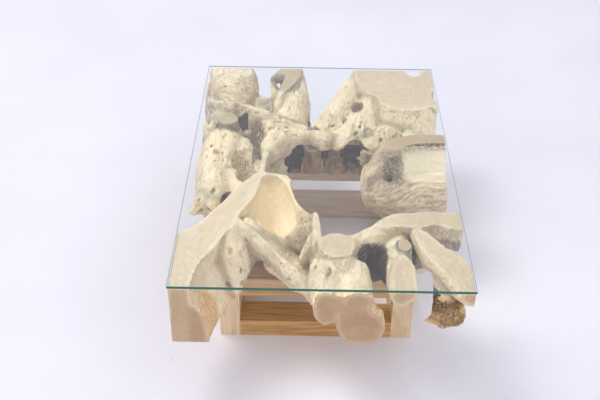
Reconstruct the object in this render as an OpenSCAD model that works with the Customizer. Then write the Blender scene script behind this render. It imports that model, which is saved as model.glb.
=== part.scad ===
// Coffee table: a glass top on a sawn block of teak roots, carried by a box frame of teak timbers.
// The origin is at the middle of the floor, +X to the right, +Y to the back, +Z up. Millimetres.

/* [Glass top] */
// Length of the glass, front to back
glass_length = 1200; // [1000:10:1500]
// Width of the glass, left to right
glass_width = 800; // [650:10:1000]
// Thickness of the glass
glass_thick = 8; // [6:1:12]
// Height of the edge bevel on the glass
glass_bevel = 1; // [0.5:0.1:1.5]
// Diameter of a clear pad under the glass
pad_d = 16; // [10:1:20]
// Thickness of a clear pad
pad_thick = 2; // [1:0.5:4]

/* [Root block] */
// Height of the sawn root block, from the frame to its flat top
root_height = 190; // [160:5:230]
// Distance from the edge of the glass to the sawn side of the roots
root_setback = 2; // [0:1:10]
// Width of the saw joint between two roots
glue_gap = 0.2; // [0.1:0.1:0.5]

/* [Base frame] */
// Length of the frame, front to back
frame_length = 680; // [600:10:760]
// Width of the frame, left to right
frame_width = 576; // [520:10:620]
// How far the frame sits to the left of the glass centre
frame_shift = 8; // [0:1:20]
// Height of the frame
frame_height = 220; // [190:5:260]
// Width of a post, seen from the front
post_width = 60; // [55:1:75]
// Depth of a post, seen from the side
post_depth = 86; // [80:1:100]
// Height of a rail
rail_height = 60; // [50:1:75]

/* [Joinery] */
// Thickness of a tenon
tenon_thick = 24; // [16:1:28]
// Height of a tenon
tenon_height = 40; // [30:1:44]
// Length of a tenon on a front or back rail
tenon_length = 34; // [24:1:42]
// Wood left between two tenons that meet in a post
tenon_wall = 4; // [3:1:6]
// Clearance round a tenon
tenon_clear = 0.2; // [0.1:0.05:0.4]
// Diameter of a dowel between two roots
dowel_d = 16; // [12:1:18]
// Length of a dowel between two roots
dowel_length = 60; // [50:5:80]
// Clearance round a dowel
dowel_clear = 0.3; // [0.2:0.05:0.5]

/* [Coach screws] */
// Diameter of a coach screw
screw_d = 8; // [6:1:10]
// Length of a coach screw under its head
screw_length = 80; // [70:5:90]
// Width of a coach screw's head across its flats
head_af = 13; // [10:1:16]
// Height of a coach screw's head
head_height = 5.5; // [4:0.5:7]
// Diameter of the washer under a coach screw's head
washer_d = 20; // [18:1:26]
// Thickness of that washer
washer_thick = 1.6; // [1:0.2:2.5]
// Clearance round a coach screw
screw_clear = 0.3; // [0.2:0.05:0.5]

/* [Hidden] */

// Colours as the photograph shows them
sapwood = "#e6d5b2";
dark_root = "#8d6b46";
grained_root = "#b08d63";
timber = "#d2b48c";
steel = "#9a9da1";
glass_tint = [0.45, 0.68, 0.64, 0.45];

// Levels and outlines that follow from the sizes
root_width = glass_width - 2*root_setback;
root_length = glass_length - 2*root_setback;
root_top = frame_height + root_height;
glass_bottom = root_top + pad_thick;
frame_left = -frame_width/2 - frame_shift;
frame_right = frame_width/2 - frame_shift;
frame_back = frame_length/2;
post_in_x = [frame_left + post_width, frame_right - post_width];
post_in_y = frame_back - post_depth;
side_tenon_length = post_depth/2 - tenon_thick/2 - tenon_wall;
seat_depth = washer_thick + head_height + 2;
far = 4000;

// The block for which the stations of the roots were laid out; they are scaled from it to the sizes above
drawn_block = [796, 1196, 190];
scale_x = root_width/drawn_block[0];
scale_y = root_length/drawn_block[1];
scale_z = root_height/drawn_block[2];

// Sides of a root's section, of a sawn end's section and of a hole in a root
root_sides = 7;
end_sides = 12;
hole_sides = 8;

function unit(v) = v/max(norm(v), 0.001);
function level(v) = abs(v[2]) < 0.8 ? unit(cross(v, [0, 0, 1])) : unit([1, 0, 0] - v*v[0]);
function between(a, b, c, d, t) =
    0.5*(2*b + (c - a)*t + (2*a - 5*b + 4*c - d)*t*t + (3*b - 3*c + d - a)*t*t*t);
function along(st, i, t) = let(last = len(st) - 1)
    between(st[max(i - 1, 0)], st[i], st[i + 1], st[min(i + 2, last)], t);
function smooth_line(st, steps) = [
    for (i = [0:len(st) - 2]) for (k = [0:steps - 1]) along(st, i, k/steps), st[len(st) - 1]];
function place(s) = [s[0], s[1], s[2]];
function heading(line, i) =
    unit(place(line[min(i + 1, len(line) - 1)]) - place(line[max(i - 1, 0)]));
function section(s, dir, sides) = let(side = level(dir), rise = cross(side, dir))
    [for (k = [0:sides - 1]) let(a = 360*(k + 0.5)/sides)
        place(s) + side*max(s[3], 1)*cos(a) + rise*max(s[4], 1)*sin(a)];

// A root limb through stations of [x, y, height above the frame, half width, half height]
module limb(stations, steps = 2, sides = root_sides) {
    line = smooth_line(stations, steps);
    for (i = [0:len(line) - 2])
        hull() polyhedron(
            concat(section(line[i], heading(line, i), sides),
                section(line[i + 1], heading(line, i + 1), sides)),
            [[for (k = [0:2*sides - 1]) k]]);
}

// The sawn block that all the roots are cut to, as it was drawn
module sawn_block() translate([-drawn_block[0]/2, -drawn_block[1]/2, 0]) cube(drawn_block);

// Saw joints between roots: [x, y, direction of the joint's normal]
joint_ab = [-42, -380, 0];
joint_ak = [-220, -95, 143];
joint_kl = [-330, -68, -90];
joint_lk = [-262, -90, 0];
joint_kj = [-320, 205, 90];
joint_kh = [-227, 162, 21];
joint_jh = [-243, 300, 0];
joint_ij = [-300, 478, 90];
joint_ih = [-212, 500, 0];
joint_gh = [-20, 330, -19];
joint_gf = [250, 178, 90];
joint_fg = [150, 100, 0];
joint_be = [97, -350, 0];
joint_bc = [160, -400, 90];
joint_ce = [210, -322, 90];
joint_ec = [160, -360, 0];
joint_de = [290, -346, 90];
joint_cd = [257, -380, 0];

// All that lies beyond a saw joint, on the side that its normal points to, or on the other
module beyond(joint, side) {
    translate([joint[0], joint[1], 0])
        rotate(joint[2] + (side > 0 ? 0 : 180))
            translate([-glue_gap/2, -far/2, -far/2]) cube([far, far, far]);
}

// The box round the trunk heart, which the roots above it are cut clear of
heart_low = [-135, 196, -1];
heart_high = [168, 338, 95];
module heart_box(clear) translate(heart_low - [clear, clear, 0])
    cube(heart_high - heart_low + [2*clear, 2*clear, clear]);

// Dowels across the saw joints: [joint, place along the joint, height above the frame]
DOWELS = [
    [joint_ab, -24, 62], [joint_ab, 26, 62],
    [joint_ak, -22, 66], [joint_ak, 24, 66],
    [joint_kl, -3, 100],
    [joint_kj, -28, 58], [joint_kj, 28, 58],
    [joint_kh, -26, 40], [joint_kh, 26, 40],
    [joint_jh, -22, 58], [joint_jh, 22, 58],
    [joint_ij, -26, 44], [joint_ij, 26, 44],
    [joint_ih, -30, 92],
    [joint_gh, 51, 44], [joint_gh, -116, 122],
    [joint_gf, 24, 60], [joint_gf, -24, 60],
    [joint_be, -20, 76], [joint_be, 24, 76],
    [joint_ce, -20, 72], [joint_ce, 22, 72],
    [joint_de, -4, 140]];
// Upright dowels between the trunk heart and the roots on it
HEART_DOWELS = [[-100, 270], [60, 270], [125, 270]];

module dowel_at(joint, offset, height)
    translate([joint[0]*scale_x, joint[1]*scale_y, frame_height + height*scale_z])
        rotate(joint[2]) translate([0, offset, 0]) rotate([0, 90, 0]) children();
module each_dowel() {
    for (d = DOWELS) dowel_at(d[0], d[1], d[2]) children();
    for (p = HEART_DOWELS)
        translate([p[0]*scale_x, p[1]*scale_y, frame_height + heart_high[2]*scale_z]) children();
}
module dowel_holes()
    each_dowel() cylinder(h = dowel_length + 2*dowel_clear,
        d = (dowel_d + 2*dowel_clear)/cos(180/hole_sides), center = true, $fn = hole_sides);

// Coach screws go up through the upper rails: places on each rail, from -1 at one post to 1 at the other
front_screws = [-0.49, 0.17, 0.69];
back_screws = [-0.75, -0.23, 0.43, 0.87];
left_screws = [-0.08, 0.43];
right_screws = [0.04, 0.43, 0.85];
cross_middle = (post_in_x[0] + post_in_x[1])/2;
cross_half = (post_in_x[1] - post_in_x[0])/2;
module each_screw() {
    for (s = front_screws)
        translate([cross_middle + s*cross_half, -frame_back + post_depth/2, 0]) children();
    for (s = back_screws)
        translate([cross_middle + s*cross_half, frame_back - post_depth/2, 0]) children();
    for (s = left_screws) translate([frame_left + post_width/2, s*post_in_y, 0]) children();
    for (s = right_screws) translate([frame_right - post_width/2, s*post_in_y, 0]) children();
}
screw_seat = frame_height - rail_height + seat_depth;
module screw_holes()
    each_screw() translate([0, 0, screw_seat])
        cylinder(h = screw_length + 2*screw_clear,
            d = (screw_d + 2*screw_clear)/cos(180/hole_sides), $fn = hole_sides);

// A root: its first child cut to the sawn block, less its second child and the joinery holes
module root() {
    difference() {
        translate([0, 0, frame_height]) scale([scale_x, scale_y, scale_z]) difference() {
            intersection() {
                children(0);
                sawn_block();
            }
            children(1);
        }
        dowel_holes();
        screw_holes();
    }
}

// Limbs that run through a saw joint are shared by the roots on both sides of it
module web_ab() {
    limb([[-130, -335, 66, 44, 30], [-88, -350, 52, 40, 34], [-42, -380, 46, 42, 44],
        [20, -400, 60, 50, 60]], 1);
    limb([[-90, -422, 106, 15, 24], [-66, -446, 100, 15, 24], [-38, -476, 96, 17, 28],
        [0, -530, 100, 22, 36]], 1);
    limb([[-76, -196, 116, 14, 60], [-60, -226, 118, 14, 60], [-38, -258, 122, 14, 60],
        [-16, -280, 130, 13, 58]], 1);
}
module web_ak() {
    limb([[-170, -190, 55, 50, 55], [-225, -105, 70, 50, 72], [-285, -20, 80, 55, 85]]);
    limb([[-190, -80, 176, 14, 44], [-179, -35, 168, 10, 50], [-174, 15, 160, 10, 48],
        [-168, 60, 162, 16, 26], [-160, 110, 148, 30, 34], [-150, 170, 130, 40, 46],
        [-138, 226, 116, 44, 50]], 1);
}
module web_kl() limb([[-325, -10, 90, 50, 60], [-336, -70, 96, 38, 44], [-352, -116, 100, 30, 34],
    [-374, -150, 100, 25, 28], [-392, -168, 98, 16, 18]]);
module web_kj() limb([[-300, 130, 70, 70, 80], [-300, 205, 66, 62, 76], [-300, 280, 60, 52, 70]]);
module web_kh() limb([[-295, 130, 40, 60, 50], [-227, 162, 38, 64, 46], [-155, 195, 45, 66, 55]]);
module web_jh() {
    limb([[-305, 300, 55, 50, 62], [-243, 300, 55, 52, 66], [-175, 295, 55, 60, 68]]);
    limb([[-300, 372, 118, 24, 52], [-243, 352, 118, 24, 56], [-190, 320, 120, 34, 60]]);
}
module web_ij() {
    limb([[-290, 320, 45, 50, 55], [-298, 400, 45, 58, 45], [-305, 500, 62, 80, 52]]);
    limb([[-386, 420, 128, 15, 30], [-394, 460, 138, 11, 22], [-396, 500, 150, 8, 15],
        [-396, 545, 160, 5, 8]]);
}
module web_ih() limb([[-300, 530, 80, 45, 60], [-212, 490, 84, 40, 44], [-130, 430, 90, 50, 55]]);
module web_gh() {
    limb([[-95, 395, 55, 42, 45], [-5, 378, 42, 24, 30], [70, 380, 60, 45, 50]]);
    limb([[-120, 232, 124, 46, 48], [-66, 222, 138, 26, 28], [-28, 216, 144, 18, 20],
        [14, 206, 132, 30, 34]], 1);
}
module web_gf() limb([[300, 250, 65, 62, 78], [300, 178, 62, 62, 76], [300, 100, 62, 58, 74]]);
module web_be() limb([[30, -350, 70, 52, 80], [97, -345, 80, 48, 74], [165, -320, 90, 46, 80]]);
module web_ce() limb([[212, -410, 100, 42, 56], [214, -322, 76, 46, 84], [216, -260, 66, 48, 80]]);
module web_de() limb([[305, -415, 152, 30, 36], [285, -346, 146, 26, 40], [280, -290, 130, 40, 60]]);

// Front left root: the sawn strip on its wide leg, the smooth bowl behind, the ridge and the burl
module front_left_limbs() {
    limb([[-372, -650, 180, 30, 110], [-370, -540, 180, 32, 110], [-358, -460, 180, 44, 100],
        [-328, -388, 182, 50, 95], [-290, -308, 184, 42, 92], [-254, -234, 184, 36, 88],
        [-221, -160, 184, 33, 78], [-198, -106, 184, 21, 56], [-184, -60, 184, 11, 36]],
        2, end_sides);
    limb([[-388, -500, 184, 26, 60], [-384, -420, 184, 32, 60], [-370, -384, 184, 30, 50],
        [-352, -366, 184, 22, 40]], 1);
    limb([[-362, -650, 10, 54, 140], [-350, -530, 10, 62, 130], [-322, -440, 14, 62, 120],
        [-286, -360, 26, 64, 108], [-250, -280, 40, 58, 106], [-214, -196, 64, 44, 88],
        [-194, -130, 94, 30, 66]], 1, end_sides);
    limb([[-172, -64, 130, 16, 66], [-150, -120, 100, 54, 76], [-138, -190, 94, 70, 76],
        [-128, -244, 92, 70, 54], [-116, -280, 88, 56, 34]]);
    limb([[-182, -76, 170, 14, 36], [-146, -82, 168, 18, 44], [-114, -92, 150, 18, 50],
        [-94, -140, 124, 16, 58], [-78, -190, 116, 14, 60]], 1);
    limb([[-218, -268, 140, 18, 44], [-194, -288, 122, 14, 42], [-160, -292, 110, 12, 36],
        [-124, -288, 90, 12, 30], [-98, -286, 84, 12, 28], [-70, -294, 100, 14, 40],
        [-40, -300, 124, 16, 50], [-14, -306, 130, 18, 56]], 1);
    limb([[-232, -312, 158, 26, 34], [-204, -334, 156, 18, 30], [-172, -356, 140, 17, 26],
        [-140, -376, 126, 16, 25], [-106, -408, 112, 15, 24], [-74, -438, 102, 15, 24]], 1);
    web_ab();
    limb([[-200, -310, 132, 36, 40], [-165, -318, 102, 38, 30], [-124, -326, 76, 42, 28],
        [-86, -346, 48, 46, 34], [-50, -366, 40, 50, 40]], 1);
    limb([[-256, -306, 160, 26, 34], [-244, -346, 142, 26, 34], [-237, -386, 110, 27, 36],
        [-232, -410, 70, 24, 30], [-235, -424, 34, 12, 14]], 1);
    web_ak();
}
module front_left_root() color(sapwood) root() {
    front_left_limbs();
    union() {
        limb([[-156, -92, 196, 20, 16], [-146, -120, 176, 36, 54], [-136, -176, 160, 54, 78],
            [-126, -226, 148, 54, 72], [-114, -262, 138, 34, 50]]);
        beyond(joint_ab, 1);
        beyond(joint_ak, 1);
    }
}

// Front centre root: two lobes sawn at the front, an oval sawn stump and a narrow fin
module front_centre_limbs() {
    limb([[20, -310, 50, 52, 60], [38, -400, 92, 62, 92], [62, -470, 96, 60, 88],
        [84, -540, 90, 50, 84], [90, -640, 88, 44, 84]], 1, end_sides);
    limb([[112, -480, 64, 54, 60], [118, -560, 60, 54, 58], [122, -640, 60, 50, 56]], 1, end_sides);
    limb([[88, -480, 150, 44, 34], [94, -560, 156, 40, 34], [96, -640, 156, 38, 34]], 1, end_sides);
    limb([[10, -420, 120, 40, 50], [6, -500, 130, 38, 52], [12, -560, 130, 36, 56],
        [14, -640, 130, 35, 60]], 1, end_sides);
    limb([[44, -400, 90, 60, 62], [43, -404, 150, 52, 50], [42, -407, 172, 52, 51],
        [42, -407, 230, 56, 56]], 1, end_sides);
    limb([[34, -440, 140, 44, 40], [32, -540, 144, 38, 36], [30, -640, 146, 36, 34]], 1);
    limb([[-17, -262, 160, 9, 34], [-15, -290, 158, 12, 46], [-13, -330, 150, 14, 56],
        [-8, -380, 140, 20, 56]]);
    limb([[-22, -340, 138, 16, 40], [-34, -368, 128, 17, 36], [-46, -390, 114, 13, 28]], 1);
    web_ab();
    web_be();
}
module front_centre_root() color(sapwood) root() {
    front_centre_limbs();
    union() {
        beyond(joint_ab, -1);
        intersection() {
            beyond(joint_bc, 1);
            beyond(joint_be, 1);
        }
        limb([[10, -640, 205, 14, 12], [16, -560, 190, 10, 9], [22, -500, 175, 4, 4]], 1);
    }
}

// Front right root: a nose sawn on top and in front, with a knob behind it
module front_right_limbs() {
    limb([[214, -340, 96, 44, 66], [211, -400, 116, 42, 62], [209, -460, 134, 36, 56],
        [208, -530, 158, 30, 40], [208, -640, 182, 22, 18]]);
    limb([[220, -462, 180, 12, 20], [219, -500, 182, 28, 32], [217, -560, 182, 33, 30],
        [216, -640, 182, 30, 20]], 1);
    limb([[226, -350, 120, 28, 50], [228, -395, 140, 22, 30], [228, -402, 165, 19, 26],
        [228, -402, 230, 19, 28]], 1);
    web_ce();
}
module front_right_root() color(sapwood) root() {
    front_right_limbs();
    union() {
        beyond(joint_ce, 1);
        beyond(joint_cd, 1);
    }
}

// Corner root: the diagonal sawn strip and the leg that hangs under it
module corner_limbs() {
    limb([[268, -340, 168, 18, 34], [290, -385, 172, 28, 38], [316, -432, 174, 36, 42],
        [346, -478, 174, 45, 42], [372, -530, 176, 46, 38], [412, -620, 180, 38, 26]]);
    limb([[338, -486, 140, 36, 40], [348, -524, 108, 36, 30], [352, -544, 78, 36, 24],
        [350, -550, 52, 36, 18], [352, -552, 42, 26, 10]]);
    limb([[330, -546, 56, 20, 14], [304, -548, 51, 13, 9], [286, -549, 50, 6, 5]], 1);
    web_de();
}
module corner_root() color(sapwood) root() {
    corner_limbs();
    union() {
        beyond(joint_de, 1);
        beyond(joint_cd, -1);
    }
}

// Right front root: a wavy sawn ledge along the right side, and the limb to the centre
module right_front_limbs() {
    limb([[440, -292, 172, 40, 84], [392, -294, 172, 40, 84], [350, -282, 170, 34, 78],
        [308, -278, 168, 33, 76], [268, -290, 166, 38, 80], [230, -290, 156, 34, 74],
        [192, -302, 136, 36, 66], [160, -318, 118, 42, 66], [126, -334, 102, 44, 70],
        [92, -346, 84, 46, 76]], 1);
    limb([[292, -290, 60, 36, 62], [230, -292, 60, 50, 72], [160, -316, 60, 46, 70]], 1);
    web_be();
    web_ce();
    web_de();
}
module right_front_root() color(sapwood) root() {
    right_front_limbs();
    union() {
        beyond(joint_be, -1);
        intersection() {
            beyond(joint_ce, -1);
            beyond(joint_ec, 1);
            beyond(joint_cd, -1);
        }
        intersection() {
            beyond(joint_de, -1);
            beyond(joint_cd, 1);
        }
    }
}

// Right root: dark swirling grain round a light face, with a sawn strip that is split along
module right_face() hull() for (x = [226, 440], edge = [[96, 178], [34, 100], [90, 10]])
    limb([[x, edge[0], edge[1], 4, 4], [x + 6, edge[0], edge[1], 4, 4]], 1, 4);
module right_limbs() {
    limb([[440, 132, 150, 36, 90], [360, 136, 150, 37, 90], [300, 130, 150, 38, 88],
        [246, 112, 136, 40, 76], [205, 84, 110, 40, 76], [176, 48, 84, 34, 66]]);
    right_face();
    limb([[440, 6, 50, 46, 56], [350, 0, 46, 50, 56], [270, -8, 44, 52, 54],
        [205, 0, 50, 48, 58], [170, 34, 62, 36, 62], [162, 84, 84, 30, 60]], 1);
    limb([[250, 60, 20, 60, 50], [250, 130, 20, 60, 50], [250, 170, 20, 60, 50]], 1);
    web_gf();
}
module right_root() color(grained_root) root() {
    right_limbs();
    union() {
        limb([[460, 114, 176, 5, 30], [340, 112, 178, 4, 26], [270, 98, 182, 2, 14]], 1);
        intersection() {
            beyond(joint_gf, 1);
            beyond(joint_fg, 1);
        }
        heart_box(glue_gap);
    }
}

// Back right root: the largest sawn flat, the pierced limb on its left and the lip in front
module back_right_limbs() {
    limb([[205, 660, 170, 85, 100], [206, 590, 170, 89, 100], [248, 522, 168, 122, 96],
        [286, 450, 164, 100, 92], [290, 400, 156, 100, 84], [292, 350, 120, 90, 72]]);
    limb([[402, 660, 172, 36, 90], [386, 590, 170, 32, 86], [366, 530, 168, 40, 86],
        [352, 470, 160, 46, 84]]);
    limb([[330, 380, 172, 40, 30], [400, 364, 178, 26, 20], [440, 360, 178, 22, 18]], 1);
    limb([[352, 350, 132, 48, 60], [342, 284, 98, 50, 52], [332, 226, 74, 52, 44]], 1);
    limb([[150, 580, 130, 48, 62], [112, 500, 122, 50, 64], [76, 420, 110, 52, 64],
        [36, 340, 96, 54, 58], [-4, 270, 98, 46, 52], [-40, 225, 108, 30, 34]], 1);
    limb([[186, 430, 110, 60, 70], [150, 350, 104, 66, 62], [110, 270, 106, 66, 52],
        [66, 212, 112, 50, 38]], 1);
    limb([[260, 330, 60, 80, 80], [215, 250, 70, 66, 78], [176, 215, 86, 44, 60],
        [130, 206, 106, 40, 30]], 1);
    limb([[230, 300, 10, 80, 60], [220, 230, 10, 60, 50]], 1);
    web_gh();
    web_gf();
}
module back_right_root() color(sapwood) root() {
    back_right_limbs();
    union() {
        limb([[118, 330, 240, 12, 22], [124, 380, 160, 14, 24], [130, 440, 60, 16, 26],
            [134, 480, -20, 18, 28]], 1);
        limb([[336, 606, 240, 30, 50], [336, 606, 100, 26, 46], [336, 606, -20, 20, 40]], 1);
        beyond(joint_gh, -1);
        intersection() {
            beyond(joint_gf, -1);
            beyond(joint_fg, 1);
        }
        heart_box(glue_gap);
    }
}

// Back left limb: the upright limb with its sawn strip and fin, and the pitted mass at its foot
module back_left_limb_limbs() {
    limb([[-97, 660, 116, 46, 84], [-95, 590, 116, 50, 84], [-92, 510, 106, 56, 82],
        [-92, 430, 98, 60, 80], [-104, 350, 86, 66, 78], [-118, 270, 80, 70, 66]], 1);
    limb([[-97, 660, 176, 28, 50], [-98, 570, 176, 28, 50], [-112, 500, 170, 22, 44],
        [-130, 440, 156, 18, 40], [-142, 396, 140, 18, 36]], 1);
    limb([[-118, 606, 172, 12, 30], [-148, 572, 170, 9, 28], [-166, 538, 166, 9, 28],
        [-158, 490, 146, 12, 40], [-142, 440, 124, 20, 50]], 1);
    limb([[-108, 596, 182, 28, 14], [-136, 562, 180, 24, 13], [-160, 537, 178, 12, 12]], 1);
    limb([[-200, 360, 84, 50, 66], [-184, 300, 84, 64, 74], [-156, 240, 94, 62, 66],
        [-120, 212, 110, 46, 48]], 1);
    limb([[-190, 250, 50, 50, 60], [-186, 180, 44, 48, 52], [-178, 120, 40, 36, 44]], 1);
    limb([[-200, 330, 10, 44, 50], [-190, 240, 10, 50, 40]], 1);
    limb([[-190, 330, 92, 60, 62], [-130, 290, 100, 72, 56], [-70, 262, 106, 56, 44]], 1);
    web_ak();
    web_kh();
    web_jh();
    web_ih();
    web_gh();
}
module back_left_limb() color(sapwood) root() {
    back_left_limb_limbs();
    union() {
        limb([[-138, 556, 148, 12, 16], [-142, 530, 142, 14, 24], [-142, 490, 128, 10, 22]], 1);
        trough();
        beyond(joint_kh, -1);
        beyond(joint_ak, -1);
        intersection() {
            beyond(joint_jh, -1);
            beyond(joint_ij, -1);
        }
        intersection() {
            beyond(joint_ih, -1);
            beyond(joint_ij, 1);
        }
        beyond(joint_gh, 1);
        heart_box(glue_gap);
    }
}
// The deep trough between the left roots and the back left limb
module trough() limb([[-258, 262, 210, 24, 80], [-242, 226, 200, 34, 108], [-221, 168, 190, 30, 108],
    [-203, 112, 180, 20, 86], [-192, 74, 176, 9, 44]]);

// Back left root: a pitted block at the corner
module back_left_limbs() {
    limb([[-318, 470, 84, 76, 54], [-314, 520, 104, 84, 78], [-318, 560, 118, 84, 78],
        [-322, 610, 126, 86, 70], [-326, 660, 130, 84, 60]]);
    limb([[-262, 520, 112, 40, 68], [-256, 560, 130, 36, 66], [-254, 600, 136, 28, 56]], 1);
    limb([[-370, 524, 140, 26, 34], [-376, 560, 150, 24, 36], [-384, 620, 158, 20, 36]], 1);
    web_ij();
    web_ih();
}
module back_left_root() color(sapwood) root() {
    back_left_limbs();
    union() {
        beyond(joint_ij, -1);
        beyond(joint_ih, 1);
        limb([[-250, 480, 30, 30, 26], [-300, 476, 24, 40, 26], [-360, 480, 30, 40, 30]], 1);
    }
}

// Left tail root: a thin curved tail that widens to a sawn stump over the post
module left_stump_limbs() {
    limb([[-388, 428, 122, 16, 32], [-374, 388, 112, 22, 42], [-346, 352, 106, 30, 54],
        [-310, 330, 92, 40, 64]]);
    limb([[-338, 332, 84, 36, 60], [-270, 318, 84, 42, 62], [-230, 310, 80, 46, 62]], 1);
    limb([[-300, 270, 0, 56, 70], [-302, 262, 70, 56, 64], [-303, 252, 130, 46, 50],
        [-303, 246, 180, 34, 35], [-303, 246, 230, 33, 34]]);
    limb([[-304, 328, 30, 56, 54], [-250, 300, 20, 56, 50]], 1);
    web_kj();
    web_jh();
    web_ij();
}
module left_tail_root() color(sapwood) root() {
    left_stump_limbs();
    union() {
        trough();
        beyond(joint_kj, -1);
        beyond(joint_jh, 1);
        beyond(joint_ij, 1);
    }
}

// Left root: a broad pitted mass with two small prongs and a deep hollow
module left_limbs() {
    limb([[-320, 240, 92, 62, 74], [-316, 170, 92, 76, 86], [-318, 100, 88, 78, 90],
        [-322, 30, 84, 74, 86], [-326, -40, 82, 66, 80], [-322, -90, 78, 46, 64]]);
    limb([[-250, 190, 78, 36, 66], [-240, 120, 84, 42, 76], [-228, 60, 84, 48, 80],
        [-210, 10, 76, 44, 78], [-194, -40, 66, 30, 66]], 1);
    limb([[-250, -90, 64, 44, 72], [-236, -60, 60, 60, 70], [-230, -20, 40, 60, 60]], 1);
    limb([[-372, 205, 130, 14, 30], [-376, 222, 160, 9, 12], [-378, 232, 178, 5, 6]], 1);
    limb([[-350, 205, 130, 14, 30], [-352, 222, 165, 8, 12], [-353, 230, 184, 4, 6]], 1);
    web_ak();
    web_kl();
    web_kj();
    web_kh();
}
module left_root() color(sapwood) root() {
    left_limbs();
    union() {
        trough();
        limb([[-222, -44, 214, 40, 38], [-224, -32, 160, 38, 40], [-222, -18, 96, 32, 34],
            [-220, -8, 44, 14, 16]], 1);
        limb([[-326, 66, 214, 26, 22], [-326, 68, 180, 16, 14], [-326, 70, 160, 6, 6]], 1);
        beyond(joint_ak, -1);
        intersection() {
            beyond(joint_kl, 1);
            beyond(joint_lk, -1);
        }
        beyond(joint_kj, 1);
        beyond(joint_kh, 1);
    }
}

// Left knob: a short crooked root with a hollow end
module left_knob_limbs() {
    web_kl();
    limb([[-300, -30, 80, 46, 56], [-306, -90, 88, 38, 44], [-318, -136, 90, 30, 34],
        [-330, -166, 90, 20, 22]]);
}
module left_knob_root() color(sapwood) root() {
    left_knob_limbs();
    union() {
        beyond(joint_kl, -1);
        beyond(joint_lk, 1);
        beyond(joint_ak, -1);
        limb([[-292, -176, 118, 14, 14], [-298, -140, 108, 11, 11], [-304, -108, 100, 5, 5]], 1);
    }
}

// Trunk heart: the dark hollow wall on the back rail, scalloped under the lips of the roots
module trunk_heart_limbs() {
    limb([[-170, 270, 30, 74, 90], [-60, 268, 30, 62, 90], [60, 268, 30, 62, 90],
        [200, 270, 30, 74, 90]]);
    limb([[-28, 232, -20, 30, 24], [-26, 226, 40, 28, 26], [-26, 224, 110, 26, 28]], 1);
    limb([[60, 230, -20, 22, 18], [58, 224, 60, 18, 16], [56, 220, 110, 16, 14]], 1);
    limb([[-120, 226, -20, 26, 22], [-122, 220, 60, 22, 20], [-124, 214, 110, 20, 18]], 1);
    limb([[150, 226, -20, 28, 24], [154, 218, 60, 22, 20], [156, 212, 110, 20, 18]], 1);
}
module trunk_heart() color(dark_root) root() {
    intersection() {
        trunk_heart_limbs();
        heart_box(0);
    }
    union() {
        limb([[-80, 205, 90, 26, 26], [-78, 212, 50, 20, 20], [-78, 214, 10, 10, 10]], 1);
        limb([[105, 200, 96, 34, 30], [104, 210, 56, 28, 24], [104, 216, 12, 12, 12]], 1);
        limb([[16, 204, 96, 12, 14], [16, 210, 60, 9, 11], [16, 214, 30, 5, 6]], 1);
    }
}

// A post stands under each corner of the root block, with a mortise for every tenon
module post(x_side, y_side) {
    x_low = x_side < 0 ? frame_left : frame_right - post_width;
    y_low = y_side < 0 ? -frame_back : post_in_y;
    difference() {
        translate([x_low, y_low, 0]) cube([post_width, post_depth, frame_height]);
        tenons(tenon_clear);
    }
}
module front_left_post() color(timber) post(-1, -1);
module front_right_post() color(timber) post(1, -1);
module back_left_post() color(timber) post(-1, 1);
module back_right_post() color(timber) post(1, 1);

// The tenons of all eight rails, grown by a clearance for the mortises
rail_levels = [0, frame_height - rail_height];
module cross_tenon(y_side, level, clear) {
    y_mid = y_side*(frame_back - post_depth/2);
    translate([post_in_x[0] - tenon_length - clear, y_mid - tenon_thick/2 - clear,
        level + (rail_height - tenon_height)/2 - clear])
        cube([post_in_x[1] - post_in_x[0] + 2*tenon_length + 2*clear,
            tenon_thick + 2*clear, tenon_height + 2*clear]);
}
module side_tenon(x_side, level, clear) {
    x_mid = x_side < 0 ? frame_left + post_width/2 : frame_right - post_width/2;
    translate([x_mid - tenon_thick/2 - clear, -post_in_y - side_tenon_length - clear,
        level + (rail_height - tenon_height)/2 - clear])
        cube([tenon_thick + 2*clear, 2*post_in_y + 2*side_tenon_length + 2*clear,
            tenon_height + 2*clear]);
}
module tenons(clear) for (level = rail_levels, side = [-1, 1]) {
    cross_tenon(side, level, clear);
    side_tenon(side, level, clear);
}

// Front and back rails lie between the posts, as deep as a post
module cross_rail(y_side, level) difference() {
    union() {
        translate([post_in_x[0], y_side < 0 ? -frame_back : post_in_y, level])
            cube([post_in_x[1] - post_in_x[0], post_depth, rail_height]);
        cross_tenon(y_side, level, 0);
    }
    rail_bores();
}
// Side rails lie between the posts, as wide as a post
module side_rail(x_side, level) difference() {
    union() {
        translate([x_side < 0 ? frame_left : frame_right - post_width, -post_in_y, level])
            cube([post_width, 2*post_in_y, rail_height]);
        side_tenon(x_side, level, 0);
    }
    rail_bores();
}
// Bores for the coach screws, with a seat for each head and washer in the underside of a rail
module rail_bores() each_screw() {
    translate([0, 0, frame_height - rail_height - 1])
        cylinder(h = seat_depth + 1, d = washer_d + 2, $fn = 48);
    translate([0, 0, frame_height - rail_height - 1])
        cylinder(h = rail_height + 2, d = screw_d + 2*screw_clear, $fn = 48);
}
module front_lower_rail() color(timber) cross_rail(-1, rail_levels[0]);
module front_upper_rail() color(timber) cross_rail(-1, rail_levels[1]);
module back_lower_rail() color(timber) cross_rail(1, rail_levels[0]);
module back_upper_rail() color(timber) cross_rail(1, rail_levels[1]);
module left_lower_rail() color(timber) side_rail(-1, rail_levels[0]);
module left_upper_rail() color(timber) side_rail(-1, rail_levels[1]);
module right_lower_rail() color(timber) side_rail(1, rail_levels[0]);
module right_upper_rail() color(timber) side_rail(1, rail_levels[1]);

module root_dowels() color(timber) each_dowel()
    cylinder(h = dowel_length, d = dowel_d, center = true, $fn = 48);

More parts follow.
